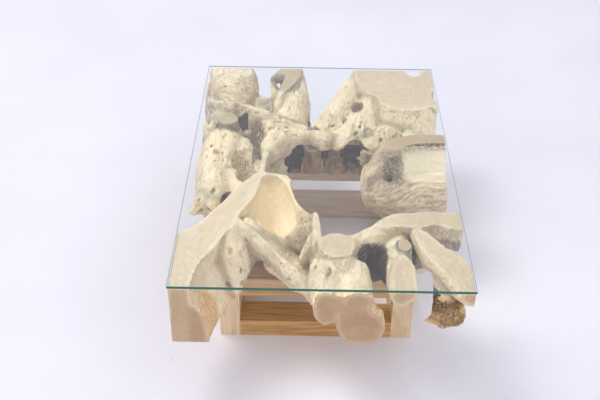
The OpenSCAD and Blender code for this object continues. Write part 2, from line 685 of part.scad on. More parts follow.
// A coach screw stands on its washer, which lies against the top of its seat
module coach_screws() color(steel) each_screw() translate([0, 0, screw_seat - washer_thick]) {
    translate([0, 0, -head_height]) cylinder(h = head_height, d = head_af/cos(30), $fn = 6);
    cylinder(h = screw_length, d = screw_d, $fn = 48);
}
module screw_washers() color(steel) each_screw() translate([0, 0, screw_seat - washer_thick])
    difference() {
        cylinder(h = washer_thick, d = washer_d, $fn = 48);
        translate([0, 0, -1]) cylinder(h = washer_thick + 2, d = screw_d + 2*screw_clear, $fn = 48);
    }

// The glass rests on clear pads, each on a sawn flat
PADS = [[-368, -560], [-225, -185], [42, -407], [212, -545], [352, -505], [345, -290],
    [330, 132], [255, 480], [120, 560], [-97, 560], [-303, 246], [-326, 585]];
module glass_pads() color(glass_tint) for (p = PADS)
    translate([p[0]*scale_x, p[1]*scale_y, root_top]) cylinder(h = pad_thick, d = pad_d, $fn = 48);

module glass_top() color(glass_tint) translate([0, 0, glass_bottom]) {
    flat_length = glass_length - 2*glass_bevel;
    flat_width = glass_width - 2*glass_bevel;
    hull() {
        translate([-flat_width/2, -flat_length/2, 0]) cube([flat_width, flat_length, glass_thick]);
        translate([-glass_width/2, -glass_length/2, glass_bevel])
            cube([glass_width, glass_length, glass_thick - 2*glass_bevel]);
    }
}

glass_top();
glass_pads();
front_left_root();
front_centre_root();
front_right_root();
corner_root();
right_front_root();
right_root();
back_right_root();
back_left_limb();
back_left_root();
left_tail_root();
left_root();
left_knob_root();
trunk_heart();
front_left_post();
front_right_post();
back_left_post();
back_right_post();
front_lower_rail();
front_upper_rail();
back_lower_rail();
back_upper_rail();
left_lower_rail();
left_upper_rail();
right_lower_rail();
right_upper_rail();
root_dowels();
coach_screws();
screw_washers();
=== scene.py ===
# %% [markdown]
# # A glass coffee table on a block of teak roots
# The real table is a stump of teak, dug up with its roots and sawn to a block. A clear sheet of glass lies
# on the flats that the saw left, and a box frame of teak timbers carries the block above the floor.
# The posts, the rails, the glass and the fixings come ready made from the construction model. What is
# made here is the wood itself: thirteen roots that flow into one another, and every finish.

# %% The construction model
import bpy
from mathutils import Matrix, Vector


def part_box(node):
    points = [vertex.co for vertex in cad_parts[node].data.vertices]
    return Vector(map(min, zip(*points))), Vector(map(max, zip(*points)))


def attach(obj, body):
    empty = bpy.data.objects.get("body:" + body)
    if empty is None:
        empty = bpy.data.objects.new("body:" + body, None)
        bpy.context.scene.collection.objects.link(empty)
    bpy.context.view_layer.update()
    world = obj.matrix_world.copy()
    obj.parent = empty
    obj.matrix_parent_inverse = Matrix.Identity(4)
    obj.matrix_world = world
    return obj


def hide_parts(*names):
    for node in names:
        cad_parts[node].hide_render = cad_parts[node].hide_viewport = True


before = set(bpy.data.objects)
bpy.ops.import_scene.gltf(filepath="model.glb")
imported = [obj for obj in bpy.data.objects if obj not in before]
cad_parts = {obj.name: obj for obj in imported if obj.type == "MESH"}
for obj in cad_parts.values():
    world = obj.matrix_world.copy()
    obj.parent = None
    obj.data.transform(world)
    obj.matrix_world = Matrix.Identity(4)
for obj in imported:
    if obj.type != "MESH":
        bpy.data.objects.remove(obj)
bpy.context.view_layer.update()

# %% [markdown]
# Blender's own tools make single shapes well, but a stump has no single shape: limbs melt into each
# other, hollows eat into them and a saw has cut it flat. So the wood is made as a field of numbers in
# space, as a potter would press lumps of clay together, and the skin is drawn round it at the end.
# NumPy holds such a field. The work is done in millimetres, and the finished mesh is put in metres.

# %% What the work needs
import math
import bpy
import numpy as np
from mathutils import Matrix, Vector
scene = bpy.context.scene
print("Blender", bpy.app.version_string, "with NumPy", np.__version__)

# %% [markdown]
# ## Where the picture is taken from
# The photographer stood in front of the table and a little to the left of its middle, about two metres
# up, and looked down on the glass. The camera's place, its turn to the side, its dip and its small roll
# were worked out from the four corners of the glass. A matrix takes the three directions as columns.

# %% The camera
eye = Vector((-0.05044, -2.39535, 2.01215))
turn, dip, roll = -0.004938, 0.630158, -0.014971
ahead = Vector((math.sin(turn) * math.cos(dip), math.cos(turn) * math.cos(dip), -math.sin(dip)))
level_right = ahead.cross(Vector((0, 0, 1))).normalized()
down = ahead.cross(level_right)
right = math.cos(roll) * level_right + math.sin(roll) * down
down = math.cos(roll) * down - math.sin(roll) * level_right
lens = bpy.data.cameras.new("table_view")
lens.sensor_width = 36
lens.lens = 55.904
camera = bpy.data.objects.new("table_view", lens)
scene.collection.objects.link(camera)
camera.matrix_world = Matrix.Translation(eye) @ Matrix((right, -down, -ahead)).transposed().to_4x4()
scene.camera = camera
print("camera", round(eye.length, 2), "m from the middle of the floor, lens", lens.lens, "mm")

# %% [markdown]
# ## Helpers for materials
# Every finish here is drawn by a small web of nodes, and a few helpers keep that short. They add a node
# and set its inputs by name, blend two colours by a mask, stretch a value over a range, read a noise at a
# place, and turn a colour's usual numbers from 0 to 255 into linear light.

# %% Helpers
def set_socket(tree, socket, value):
    if isinstance(value, bpy.types.NodeSocket):
        tree.links.new(value, socket)
    else:
        socket.default_value = value

def add(tree, kind, inputs=None, **settings):
    new = tree.nodes.new("ShaderNode" + kind)
    for name, value in settings.items():
        setattr(new, name, value)
    for name, value in (inputs or {}).items():
        set_socket(tree, new.inputs[name], value)
    return new

def blend_colours(tree, mask, first, second):
    new = add(tree, "Mix", data_type="RGBA")
    for number, value in ((0, mask), (6, first), (7, second)):
        set_socket(tree, new.inputs[number], value)
    return new.outputs[2]

def stretch(tree, value, start, end):
    return add(tree, "MapRange", {"Value": value, "From Min": start, "From Max": end}).outputs["Result"]

def object_place(tree):
    return add(tree, "TexCoord").outputs["Object"]

def noise(tree, place, scale, detail, roughness=0.5):
    inputs = {"Vector": place, "Scale": scale, "Detail": detail, "Roughness": roughness}
    return add(tree, "TexNoise", inputs).outputs[0]

def new_material(name):
    material = bpy.data.materials.new(name)
    material.use_nodes = True
    return material, material.node_tree, material.node_tree.nodes["Principled BSDF"]

def shade(red, green, blue):
    parts = [c / 255 for c in (red, green, blue)]
    return [c / 12.92 if c <= 0.04045 else ((c + 0.055) / 1.055) ** 2.4 for c in parts] + [1.0]
print("a shade of", (230, 213, 178), "is", [round(c, 3) for c in shade(230, 213, 178)], "in linear light")

# %% [markdown]
# ## The studio
# The table stands on a pale sheet that fills the picture, cool white with a touch of violet. A large
# plane does that. Its colour carries slow clouds and faint scuffs, from two noises, so that it doesn't
# look like a computer's white, and it catches the soft shadow under the frame.

# %% The studio sheet
bpy.ops.mesh.primitive_plane_add(size=16, location=(0, 2, 0))
floor = bpy.context.object
floor.name = "studio_sheet"
sheet_paint, tree, paint = new_material("studio_sheet_paint")
where = object_place(tree)
clouds = stretch(tree, noise(tree, where, 1.3, 5.0), 0.35, 0.65)
scuffs = stretch(tree, noise(tree, where, 17.0, 9.0, 0.7), 0.66, 0.74)
cloudy = blend_colours(tree, clouds, shade(236, 234, 242), shade(243, 241, 248))
tree.links.new(blend_colours(tree, scuffs, cloudy, shade(216, 212, 226)), paint.inputs["Base Color"])
paint.inputs["Roughness"].default_value = 0.7
floor.data.materials.append(sheet_paint)
print("studio sheet", tuple(round(v, 1) for v in floor.dimensions), "m")

# %% [markdown]
# The light is the soft light of a white room, so the world gives most of it. One wide lamp high above and
# behind the left corner draws the gentle shadows that show the form of the bowl and the ridges, and a
# weaker one in front lights the sawn ends and the posts.

# %% The lamps
world = bpy.data.worlds.new("white_room")
scene.world = world
world.use_nodes = True
world.node_tree.nodes["Background"].inputs["Color"].default_value = shade(243, 245, 255)
world.node_tree.nodes["Background"].inputs["Strength"].default_value = 0.86

def soft_lamp(name, place, aim, size, watts, colour):
    lamp = bpy.data.lights.new(name, "AREA")
    lamp.size = size
    lamp.energy = watts
    lamp.color = colour
    holder = bpy.data.objects.new(name, lamp)
    scene.collection.objects.link(holder)
    holder.location = place
    holder.rotation_euler = (Vector(aim) - Vector(place)).to_track_quat("-Z", "Y").to_euler()
    return holder
soft_lamp("high_lamp", (-2.6, 0.9, 5.2), (0, 0, 0.3), 2.0, 90, (1, 0.985, 0.955))
soft_lamp("front_lamp", (1.6, -4.0, 2.4), (0, 0, 0.2), 2.4, 26, (1, 0.98, 0.95))
scene.view_settings.view_transform = "Standard"

# %% [markdown]
# ## The clay: a grid of points in space
# The block of roots is 796 mm wide, 1196 mm long and 190 mm high, and it stands on a frame 220 mm high.
# A grid of points fills that space and a little more. At each point a number says how far the wood's
# skin is: below nought is inside the wood. Three millimetres between points is fine enough for the
# forms, and leaves the small grain to the finish.

# %% The grid
STEP = 3.0
LOWEST = np.array([-404.0, -604.0, 212.0])
SPAN = np.array([808.0, 1208.0, 206.0])
COUNT = (SPAN / STEP).astype(int) + 1
AXES = [LOWEST[i] + STEP * np.arange(COUNT[i]) for i in range(3)]
FRAME_TOP = 220.0
FAR_AWAY = 60.0
print("grid of", COUNT, "points, or", COUNT.prod(), "in all")

# %% [markdown]
# A root limb is told by a few stations, as a ship's hull is by its ribs: where the middle of the limb
# is, how high that is above the frame, and half its width and height there. A smooth curve runs through
# the stations. This one, named after Catmull and Rom, passes through every point that is given.

# %% A smooth line through stations
def curve_between(a, b, c, d, t):
    return 0.5 * (2*b + (c - a)*t + (2*a - 5*b + 4*c - d)*t*t + (3*b - 3*c + d - a)*t*t*t)

def smooth_line(stations, steps=3):
    st = np.array(stations, float)
    st[:, 2] += FRAME_TOP
    end = len(st) - 1
    line = [curve_between(st[max(i - 1, 0)], st[i], st[i + 1], st[min(i + 2, end)], k / steps)
            for i in range(end) for k in range(steps)]
    return np.array(line + [st[end]])
example = smooth_line([[0, 0, 0, 5, 5], [10, 0, 0, 5, 5], [20, 10, 0, 5, 5]])
print("three stations give a line of", len(example), "points")

# %% [markdown]
# Each bit of a limb has an oval section, so it needs two directions across its run: one level, to the
# side, and one that rises.

# %% Directions across a limb
def directions_across(run):
    side = np.cross(run, [0, 0, 1.0]) if abs(run[2]) < 0.8 else np.array([1.0, 0, 0]) - run*run[0]
    side /= max(np.linalg.norm(side), 1e-6)
    return side, np.cross(side, run)
print("a limb along y has its side along", directions_across(np.array([0, 1.0, 0]))[0])

# %% [markdown]
# For one straight bit of a limb the distance to its skin is reckoned at every grid point near it. The
# point's place is split into a part along the run and two across, and set against the oval there. A
# second helper finds the part of the grid that a box of space covers.

# %% The distance to one bit of a limb
def grid_box(lowest, highest):
    first = np.maximum(np.floor((lowest - LOWEST) / STEP).astype(int), 0)
    last = np.minimum(np.ceil((highest - LOWEST) / STEP).astype(int) + 1, COUNT)
    return first, last

def bit_distance(start, end, first, last):
    run = end[:3] - start[:3]
    length = np.linalg.norm(run)
    run = run / length
    side, rise = directions_across(run)
    x = (AXES[0][first[0]:last[0], None, None] - start[0]).astype(np.float32)
    y = (AXES[1][None, first[1]:last[1], None] - start[1]).astype(np.float32)
    z = (AXES[2][None, None, first[2]:last[2]] - start[2]).astype(np.float32)
    along, over, up = (x*v[0] + y*v[1] + z*v[2] for v in (run, side, rise))
    share = np.clip(along / length, 0, 1)
    wide, tall = (start[k] + (end[k] - start[k]) * share for k in (3, 4))
    past = along - share * length
    straight = np.sqrt(over*over + up*up + past*past) + 1e-4
    oval = np.sqrt((over/wide)**2 + (up/tall)**2 + (past/np.minimum(wide, tall))**2) + 1e-5
    return straight * (1 - 1/oval), run
first, last = grid_box(np.array([-20, -20, 300.0]), np.array([20, 20, 340.0]))
trial, run = bit_distance(np.array([0, -50, 320, 15, 15.0]), np.array([0, 50, 320, 15, 15.0]), first, last)
print("inside the trial bit the distance falls to", round(float(trial.min()), 1), "mm")

# %% [markdown]
# A whole limb takes the smallest distance of all its bits. The heading of the nearest bit is kept too,
# because wood fibre runs along a limb, and the grain will follow it later.

# %% The field of a whole limb
REACH = 32.0
THINNEST = 1.0

def limb_field(stations):
    line = smooth_line(stations)
    line[:, 3:] = np.maximum(line[:, 3:], THINNEST)
    reach = line[:, 3:].max(axis=1)[:, None] + REACH
    first, last = grid_box((line[:, :3] - reach).min(0), (line[:, :3] + reach).max(0))
    field = np.full(last - first, FAR_AWAY, np.float32)
    heading = np.zeros((3,) + tuple(last - first), np.float32)
    for i, (start, end) in enumerate(zip(line, line[1:])):
        far = max(reach[i, 0], reach[i + 1, 0])
        a, b = grid_box(np.minimum(start[:3], end[:3]) - far, np.maximum(start[:3], end[:3]) + far)
        a, b = np.maximum(a, first), np.minimum(b, last)
        if (b <= a).any():
            continue
        distance, run = bit_distance(start, end, a, b)
        part = tuple(slice(a[j] - first[j], b[j] - first[j]) for j in range(3))
        nearer = distance < field[part]
        field[part] = np.where(nearer, distance, field[part])
        for j in range(3):
            heading[j][part] = np.where(nearer, run[j], heading[j][part])
    return tuple(slice(first[j], last[j]) for j in range(3)), field, heading
print("limb fields reach", REACH, "mm round their limbs")

# %% [markdown]
# Two limbs that meet have a soft crease between them, as real roots grow together. A smooth minimum of
# two distances gives it. The same sum turned inside out rounds the rim of a hollow that is cut out.

# %% Melting limbs together
CREASE = 16.0
RIM = 8.0

def melt(a, b, softness):
    share = np.clip(0.5 + 0.5*(b - a)/softness, 0, 1)
    return b*(1 - share) + a*share - softness*share*(1 - share)

wood = np.full(COUNT, FAR_AWAY, np.float32)
nearest = np.full(COUNT, FAR_AWAY, np.float32)
fibre = np.zeros((3,) + tuple(COUNT), np.float32)

def filling():
    return f"{float((wood < 0).mean()) * 100:.1f} % of the grid"

def grow(limbs):
    for stations in limbs:
        part, field, heading = limb_field(stations)
        wood[part] = melt(wood[part], field, CREASE)
        nearer = field < nearest[part]
        nearest[part] = np.where(nearer, field, nearest[part])
        for j in range(3):
            fibre[j][part] = np.where(nearer, heading[j], fibre[j][part])
    print(len(limbs), "limbs grown; wood fills", filling())

def hollow_out(limbs):
    for stations in limbs:
        part, field, heading = limb_field(stations)
        wood[part] = -melt(-wood[part], field, RIM)
    print(len(limbs), "hollows cut; wood fills", filling())
print("where two skins meet, melting adds", CREASE / 4, "mm of wood")

# %% [markdown]
# The front left root is the one that the eye meets first. A broad strip, sawn flat at the top and at the
# front, leans on a wide leg. Behind it lies a smooth bowl, a ridge runs down to the middle, and a knobbly
# burl hangs below the strip.

# %% Front left root
front_left = [
    [[-372, -650, 180, 30, 110], [-370, -540, 180, 32, 110], [-358, -460, 180, 44, 100],
     [-328, -388, 182, 50, 95], [-290, -308, 184, 42, 92], [-254, -234, 184, 36, 88],
     [-221, -160, 184, 33, 78], [-198, -106, 184, 21, 56], [-184, -60, 184, 11, 36]],
    [[-388, -500, 184, 26, 60], [-384, -420, 184, 32, 60], [-370, -384, 184, 30, 50],
     [-352, -366, 184, 22, 40]],
    [[-362, -650, 10, 54, 140], [-350, -530, 10, 62, 130], [-322, -440, 14, 62, 120],
     [-286, -360, 26, 64, 108], [-250, -280, 40, 58, 106], [-214, -196, 64, 44, 88],
     [-194, -130, 94, 30, 66]],
    [[-172, -64, 130, 16, 66], [-150, -120, 100, 54, 76], [-138, -190, 94, 70, 76],
     [-128, -244, 92, 70, 54], [-116, -280, 88, 56, 34]],
    [[-182, -76, 170, 14, 36], [-146, -82, 168, 18, 44], [-114, -92, 150, 18, 50],
     [-94, -140, 124, 16, 58], [-78, -190, 116, 14, 60]],
    [[-218, -268, 140, 18, 44], [-194, -288, 122, 14, 42], [-160, -292, 110, 12, 36],
     [-124, -288, 90, 12, 30], [-98, -286, 84, 12, 28], [-70, -294, 100, 14, 40],
     [-40, -300, 124, 16, 50], [-14, -306, 130, 18, 56]],
    [[-232, -312, 158, 26, 34], [-204, -334, 156, 18, 30], [-172, -356, 140, 17, 26],
     [-140, -376, 126, 16, 25], [-106, -408, 112, 15, 24], [-74, -438, 102, 15, 24]],
    [[-200, -310, 132, 36, 40], [-165, -318, 102, 38, 30], [-124, -326, 76, 42, 28],
     [-86, -346, 48, 46, 34], [-50, -366, 40, 50, 40]],
    [[-264, -306, 164, 34, 34], [-256, -346, 152, 40, 38], [-246, -386, 124, 40, 44],
     [-236, -412, 84, 30, 38], [-235, -426, 42, 15, 20]],
    [[-236, -376, 154, 22, 22], [-226, -392, 138, 22, 22], [-217, -404, 118, 20, 20],
     [-214, -410, 98, 16, 16]],
    [[-250, -396, 112, 16, 16], [-236, -412, 96, 16, 16], [-226, -420, 80, 12, 12]]]
grow(front_left)

# %% [markdown]
# The front centre root ends in two lobes, sawn off square at the front so that their rings show. Behind
# them an oval stump reaches the glass, with a narrow fin of wood at its left.

# %% Front centre root
front_centre = [
    [[20, -310, 50, 52, 60], [38, -400, 92, 62, 92], [62, -470, 96, 60, 88], [84, -540, 90, 50, 84],
     [90, -640, 88, 44, 84]],
    [[112, -480, 64, 54, 60], [118, -560, 60, 54, 58], [122, -640, 60, 50, 56]],
    [[88, -480, 150, 44, 34], [94, -560, 156, 40, 34], [96, -640, 156, 38, 34]],
    [[10, -420, 120, 40, 50], [6, -500, 130, 38, 52], [12, -560, 130, 36, 56], [14, -640, 130, 35, 60]],
    [[44, -400, 90, 60, 62], [43, -404, 150, 52, 50], [42, -407, 172, 52, 51], [42, -407, 230, 56, 56]],
    [[34, -440, 140, 44, 40], [32, -540, 144, 38, 36], [30, -640, 146, 36, 34]],
    [[-17, -262, 160, 9, 34], [-15, -290, 158, 12, 46], [-13, -330, 150, 14, 56],
     [-8, -380, 140, 20, 56]],
    [[-22, -340, 138, 16, 40], [-34, -368, 128, 17, 36], [-46, -390, 114, 13, 28]]]
grow(front_centre)

# %% [markdown]
# The front right root is a nose that curls down to a sawn end, with a small sawn knob behind it.

# %% Front right root
front_right = [
    [[214, -340, 96, 44, 66], [211, -400, 116, 42, 62], [209, -460, 134, 36, 56],
     [208, -530, 158, 30, 40], [208, -640, 182, 22, 18]],
    [[220, -462, 180, 12, 20], [219, -500, 182, 28, 32], [217, -560, 182, 33, 30],
     [216, -640, 182, 30, 20]],
    [[226, -350, 120, 28, 50], [228, -395, 140, 22, 30], [228, -402, 165, 19, 26],
     [228, -402, 230, 19, 28]]]
grow(front_right)

# %% [markdown]
# The corner root is a straight diagonal strip, sawn flat, and a rough leg hangs under its end.

# %% Corner root
corner = [
    [[268, -340, 168, 18, 34], [290, -385, 172, 28, 38], [316, -432, 174, 36, 42],
     [346, -478, 174, 45, 42], [372, -530, 176, 46, 38], [412, -620, 180, 38, 26]],
    [[336, -486, 140, 32, 40], [334, -516, 114, 32, 30], [338, -534, 92, 38, 26],
     [340, -544, 66, 40, 20], [350, -550, 46, 30, 12]],
    [[324, -544, 60, 22, 14], [302, -547, 53, 14, 9], [284, -549, 50, 7, 5]],
    [[372, -540, 90, 12, 14], [378, -548, 66, 11, 14], [372, -552, 46, 9, 9]]]
grow(corner)

# %% [markdown]
# The right front root is a wavy ledge along the right side. It carries the wood in to the middle.

# %% Right front root
right_front = [
    [[440, -292, 172, 40, 84], [392, -294, 172, 40, 84], [350, -282, 170, 34, 78],
     [308, -278, 168, 33, 76], [268, -290, 166, 38, 80], [230, -290, 156, 34, 74],
     [192, -302, 136, 36, 66], [160, -318, 118, 42, 66], [126, -334, 102, 44, 70],
     [92, -346, 84, 46, 76]],
    [[292, -290, 60, 36, 62], [230, -292, 60, 50, 72], [160, -316, 60, 46, 70]]]
grow(right_front)

# %% [markdown]
# The right root is the most lively one. A sawn strip at its back, a scroll of dark wood round a light,
# plane face, and a low limb in front of it.

# %% Right root
right_side = [
    [[440, 132, 150, 36, 90], [360, 136, 150, 37, 90], [300, 130, 150, 38, 88],
     [246, 112, 136, 40, 76], [205, 84, 110, 40, 76], [176, 48, 84, 34, 66]],
    [[440, 6, 50, 46, 56], [350, 0, 46, 50, 56], [270, -8, 44, 52, 54], [205, 0, 50, 48, 58],
     [170, 34, 62, 36, 62], [162, 84, 84, 30, 60]],
    [[250, 60, 20, 60, 50], [250, 130, 20, 60, 50], [250, 170, 20, 60, 50]]]
grow(right_side)

# %% [markdown]
# The back right root has the largest sawn flat. Its left limb is pierced by a round hole, and its front
# edge hangs over the dark heart of the stump as a scalloped lip.

# %% Back right root
back_right = [
    [[205, 660, 170, 85, 100], [206, 590, 170, 89, 100], [248, 522, 168, 122, 96],
     [286, 450, 164, 100, 92], [290, 400, 156, 100, 84], [292, 350, 120, 90, 72]],
    [[402, 660, 172, 36, 90], [386, 590, 170, 32, 86], [366, 530, 168, 40, 86],
     [352, 470, 160, 46, 84]],
    [[330, 380, 172, 40, 30], [400, 364, 178, 26, 20], [440, 360, 178, 22, 18]],
    [[352, 350, 132, 48, 60], [342, 284, 98, 50, 52], [332, 226, 74, 52, 44]],
    [[150, 580, 130, 48, 62], [112, 500, 122, 50, 64], [76, 420, 110, 52, 64], [36, 340, 96, 54, 58],
     [-4, 270, 98, 46, 52], [-40, 225, 108, 30, 34]],
    [[186, 430, 110, 60, 70], [150, 350, 104, 66, 62], [110, 270, 106, 66, 52], [66, 212, 112, 50, 38]],
    [[260, 330, 60, 80, 80], [215, 250, 70, 66, 78], [176, 215, 86, 44, 60], [130, 206, 106, 40, 30]],
    [[230, 300, 10, 80, 60], [220, 230, 10, 60, 50]]]
grow(back_right)

# %% [markdown]
# The upright limb at the back left carries a narrow sawn strip with a fin beside it. At its foot the wood
# is pitted and splintered.

# %% Back left limb
back_limb = [
    [[-97, 660, 116, 46, 84], [-95, 590, 116, 50, 84], [-92, 510, 106, 56, 82], [-92, 430, 98, 60, 80],
     [-104, 350, 86, 66, 78], [-118, 270, 80, 70, 66]],
    [[-97, 660, 176, 28, 50], [-98, 570, 176, 28, 50], [-112, 500, 170, 22, 44],
     [-130, 440, 156, 18, 40], [-142, 396, 140, 18, 36]],
    [[-118, 606, 172, 12, 30], [-148, 572, 170, 9, 28], [-166, 538, 166, 9, 28],
     [-158, 490, 146, 12, 40], [-142, 440, 124, 20, 50]],
    [[-108, 596, 182, 28, 14], [-136, 562, 180, 24, 13], [-160, 537, 178, 12, 12]],
    [[-200, 360, 84, 50, 66], [-184, 300, 84, 64, 74], [-156, 240, 94, 62, 66],
     [-120, 212, 110, 46, 48]],
    [[-190, 250, 50, 50, 60], [-186, 180, 44, 48, 52], [-178, 120, 40, 36, 44]],
    [[-200, 330, 10, 44, 50], [-190, 240, 10, 50, 40]],
    [[-190, 330, 92, 60, 62], [-130, 290, 100, 72, 56], [-70, 262, 106, 56, 44]]]
grow(back_limb)

# %% [markdown]
# The back left root is a ragged block at the corner of the glass.

# %% Back left root
back_left = [
    [[-306, 470, 84, 70, 54], [-300, 520, 104, 74, 78], [-310, 560, 118, 80, 78],
     [-322, 610, 126, 86, 70], [-326, 660, 130, 84, 60]],
    [[-262, 520, 112, 40, 68], [-256, 560, 130, 36, 66], [-254, 600, 136, 28, 56]],
    [[-350, 520, 140, 24, 34], [-366, 560, 150, 24, 36], [-384, 620, 158, 20, 36]]]
grow(back_left)

# %% [markdown]
# The left tail root starts as a thin curved tail at the edge, and widens to a small sawn stump.

# %% Left tail root
left_tail = [
    [[-388, 428, 122, 16, 32], [-374, 388, 112, 22, 42], [-346, 352, 106, 30, 54],
     [-310, 330, 92, 40, 64]],
    [[-338, 332, 84, 36, 60], [-270, 318, 84, 42, 62], [-230, 310, 80, 46, 62]],
    [[-300, 270, 0, 56, 70], [-302, 262, 70, 56, 64], [-303, 252, 130, 46, 50],
     [-303, 246, 180, 34, 35], [-303, 246, 230, 33, 34]],
    [[-304, 328, 30, 56, 54], [-250, 300, 20, 56, 50]]]
grow(left_tail)

# %% [markdown]
# The left root is a broad pitted mass, with two small prongs that stand up behind it.

# %% Left root
left_side = [
    [[-320, 240, 92, 62, 74], [-316, 170, 92, 76, 86], [-318, 100, 88, 78, 90], [-322, 30, 84, 74, 86],
     [-326, -40, 82, 66, 80], [-322, -90, 78, 46, 64]],
    [[-250, 190, 78, 36, 66], [-240, 120, 84, 42, 76], [-228, 60, 84, 48, 80], [-210, 10, 76, 44, 78],
     [-194, -40, 66, 30, 66]],
    [[-250, -90, 64, 44, 72], [-236, -60, 60, 60, 70], [-230, -20, 40, 60, 60]],
    [[-372, 205, 130, 14, 30], [-376, 222, 160, 9, 12], [-378, 232, 178, 5, 6]],
    [[-350, 205, 130, 14, 30], [-352, 222, 165, 8, 12], [-353, 230, 184, 4, 6]]]
grow(left_side)

# %% [markdown]
# The left knob is a short crooked root with a hollow end.

# %% Left knob root
left_knob = [
    [[-300, -30, 80, 46, 56], [-304, -76, 92, 36, 42], [-312, -106, 100, 30, 34],
     [-322, -134, 104, 22, 24]]]
grow(left_knob)

# %% [markdown]
# Where two roots meet, the wood runs on from one into the other. These limbs belong to both of their roots,
# and they close the ring of the stump.

# %% Limbs that two roots share
shared = [
    [[-130, -335, 66, 44, 30], [-88, -350, 52, 40, 34], [-42, -380, 46, 42, 44],
     [20, -400, 60, 50, 60]],
    [[-90, -422, 106, 15, 24], [-66, -446, 100, 15, 24], [-38, -476, 96, 17, 28],
     [0, -530, 100, 22, 36]],
    [[-76, -196, 116, 14, 60], [-60, -226, 118, 14, 60], [-38, -258, 122, 14, 60],
     [-16, -280, 130, 13, 58]],
    [[-170, -190, 55, 50, 55], [-225, -105, 70, 50, 72], [-285, -20, 80, 55, 85]],
    [[-190, -80, 176, 14, 44], [-179, -35, 168, 10, 50], [-174, 15, 160, 10, 48],
     [-168, 60, 162, 16, 26], [-160, 110, 148, 30, 34], [-150, 170, 130, 40, 46],
     [-138, 226, 116, 44, 50]],
    [[-325, -10, 90, 50, 60], [-336, -56, 100, 36, 42], [-350, -92, 104, 29, 32],
     [-366, -122, 104, 26, 28], [-382, -146, 100, 17, 19]],
    [[-300, 130, 70, 70, 80], [-300, 205, 66, 62, 76], [-300, 280, 60, 52, 70]],
    [[-295, 130, 40, 60, 50], [-227, 162, 38, 64, 46], [-155, 195, 45, 66, 55]],
    [[-305, 300, 55, 50, 62], [-243, 300, 55, 52, 66], [-175, 295, 55, 60, 68]],
    [[-300, 372, 118, 24, 52], [-243, 352, 118, 24, 56], [-190, 320, 120, 34, 60]],
    [[-290, 320, 45, 50, 55], [-298, 400, 45, 58, 45], [-305, 500, 62, 80, 52]],
    [[-392, 520, 164, 5, 9], [-393, 470, 156, 8, 16], [-388, 424, 150, 12, 24], [-366, 384, 146, 15, 34],
     [-330, 366, 144, 17, 40], [-290, 358, 142, 18, 42], [-250, 342, 140, 18, 40], [-208, 322, 136, 22, 40]],
    [[-300, 530, 80, 45, 60], [-212, 490, 84, 40, 44], [-130, 430, 90, 50, 55]],
    [[-95, 395, 55, 42, 45], [-5, 378, 42, 24, 30], [70, 380, 60, 45, 50]],
    [[-120, 232, 124, 46, 48], [-66, 222, 138, 26, 28], [-28, 216, 144, 18, 20],
     [14, 206, 132, 30, 34]],
    [[-26, 232, 96, 26, 20], [-26, 240, 132, 21, 18], [-24, 254, 156, 12, 12]],
    [[86, 350, 118, 16, 22], [83, 322, 120, 21, 26], [80, 296, 112, 14, 18]],
    [[300, 250, 65, 62, 78], [300, 178, 62, 62, 76], [300, 128, 58, 52, 60]],
    [[30, -350, 70, 52, 80], [97, -345, 80, 48, 74], [165, -320, 90, 46, 80]],
    [[212, -410, 100, 42, 56], [214, -322, 76, 46, 84], [216, -260, 66, 48, 80]],
    [[305, -415, 152, 30, 36], [285, -346, 146, 26, 40], [280, -290, 130, 40, 60]]]
grow(shared)

# %% [markdown]
# The light face of the right root is no limb at all: it is a plane that a split has left. Three planes along
# the width of the root make a wedge, and the wedge is melted into the limbs.

# %% The split face
def wedge_field(corners, from_x, to_x, rounding=4.0):
    x, y, z = AXES[0][:, None, None], AXES[1][None, :, None], AXES[2][None, None, :] - FRAME_TOP
    field = np.abs(x - (from_x + to_x) / 2) - (to_x - from_x) / 2 + 0*y + 0*z
    for (y0, z0), (y1, z1) in zip(corners, corners[1:] + corners[:1]):
        length = math.hypot(y1 - y0, z1 - z0)
        field = np.maximum(field, ((z1 - z0)*(y - y0) - (y1 - y0)*(z - z0)) / length + 0*x)
    return (field - rounding).astype(np.float32)
split_face = wedge_field([[100, 184], [22, 96], [80, 6]], from_x=232, to_x=446)
wood = melt(wood, split_face, softness=10.0)
print("split face adds", int((split_face < 0).sum()), "points of wood")

# %% [markdown]
# ## Hollows
# Time has eaten hollows into the stump: the deep bowl, the trough at the left, a hole right through the back
# right limb, a groove that splits the right strip, and some dark pockets. They are limbs of air.

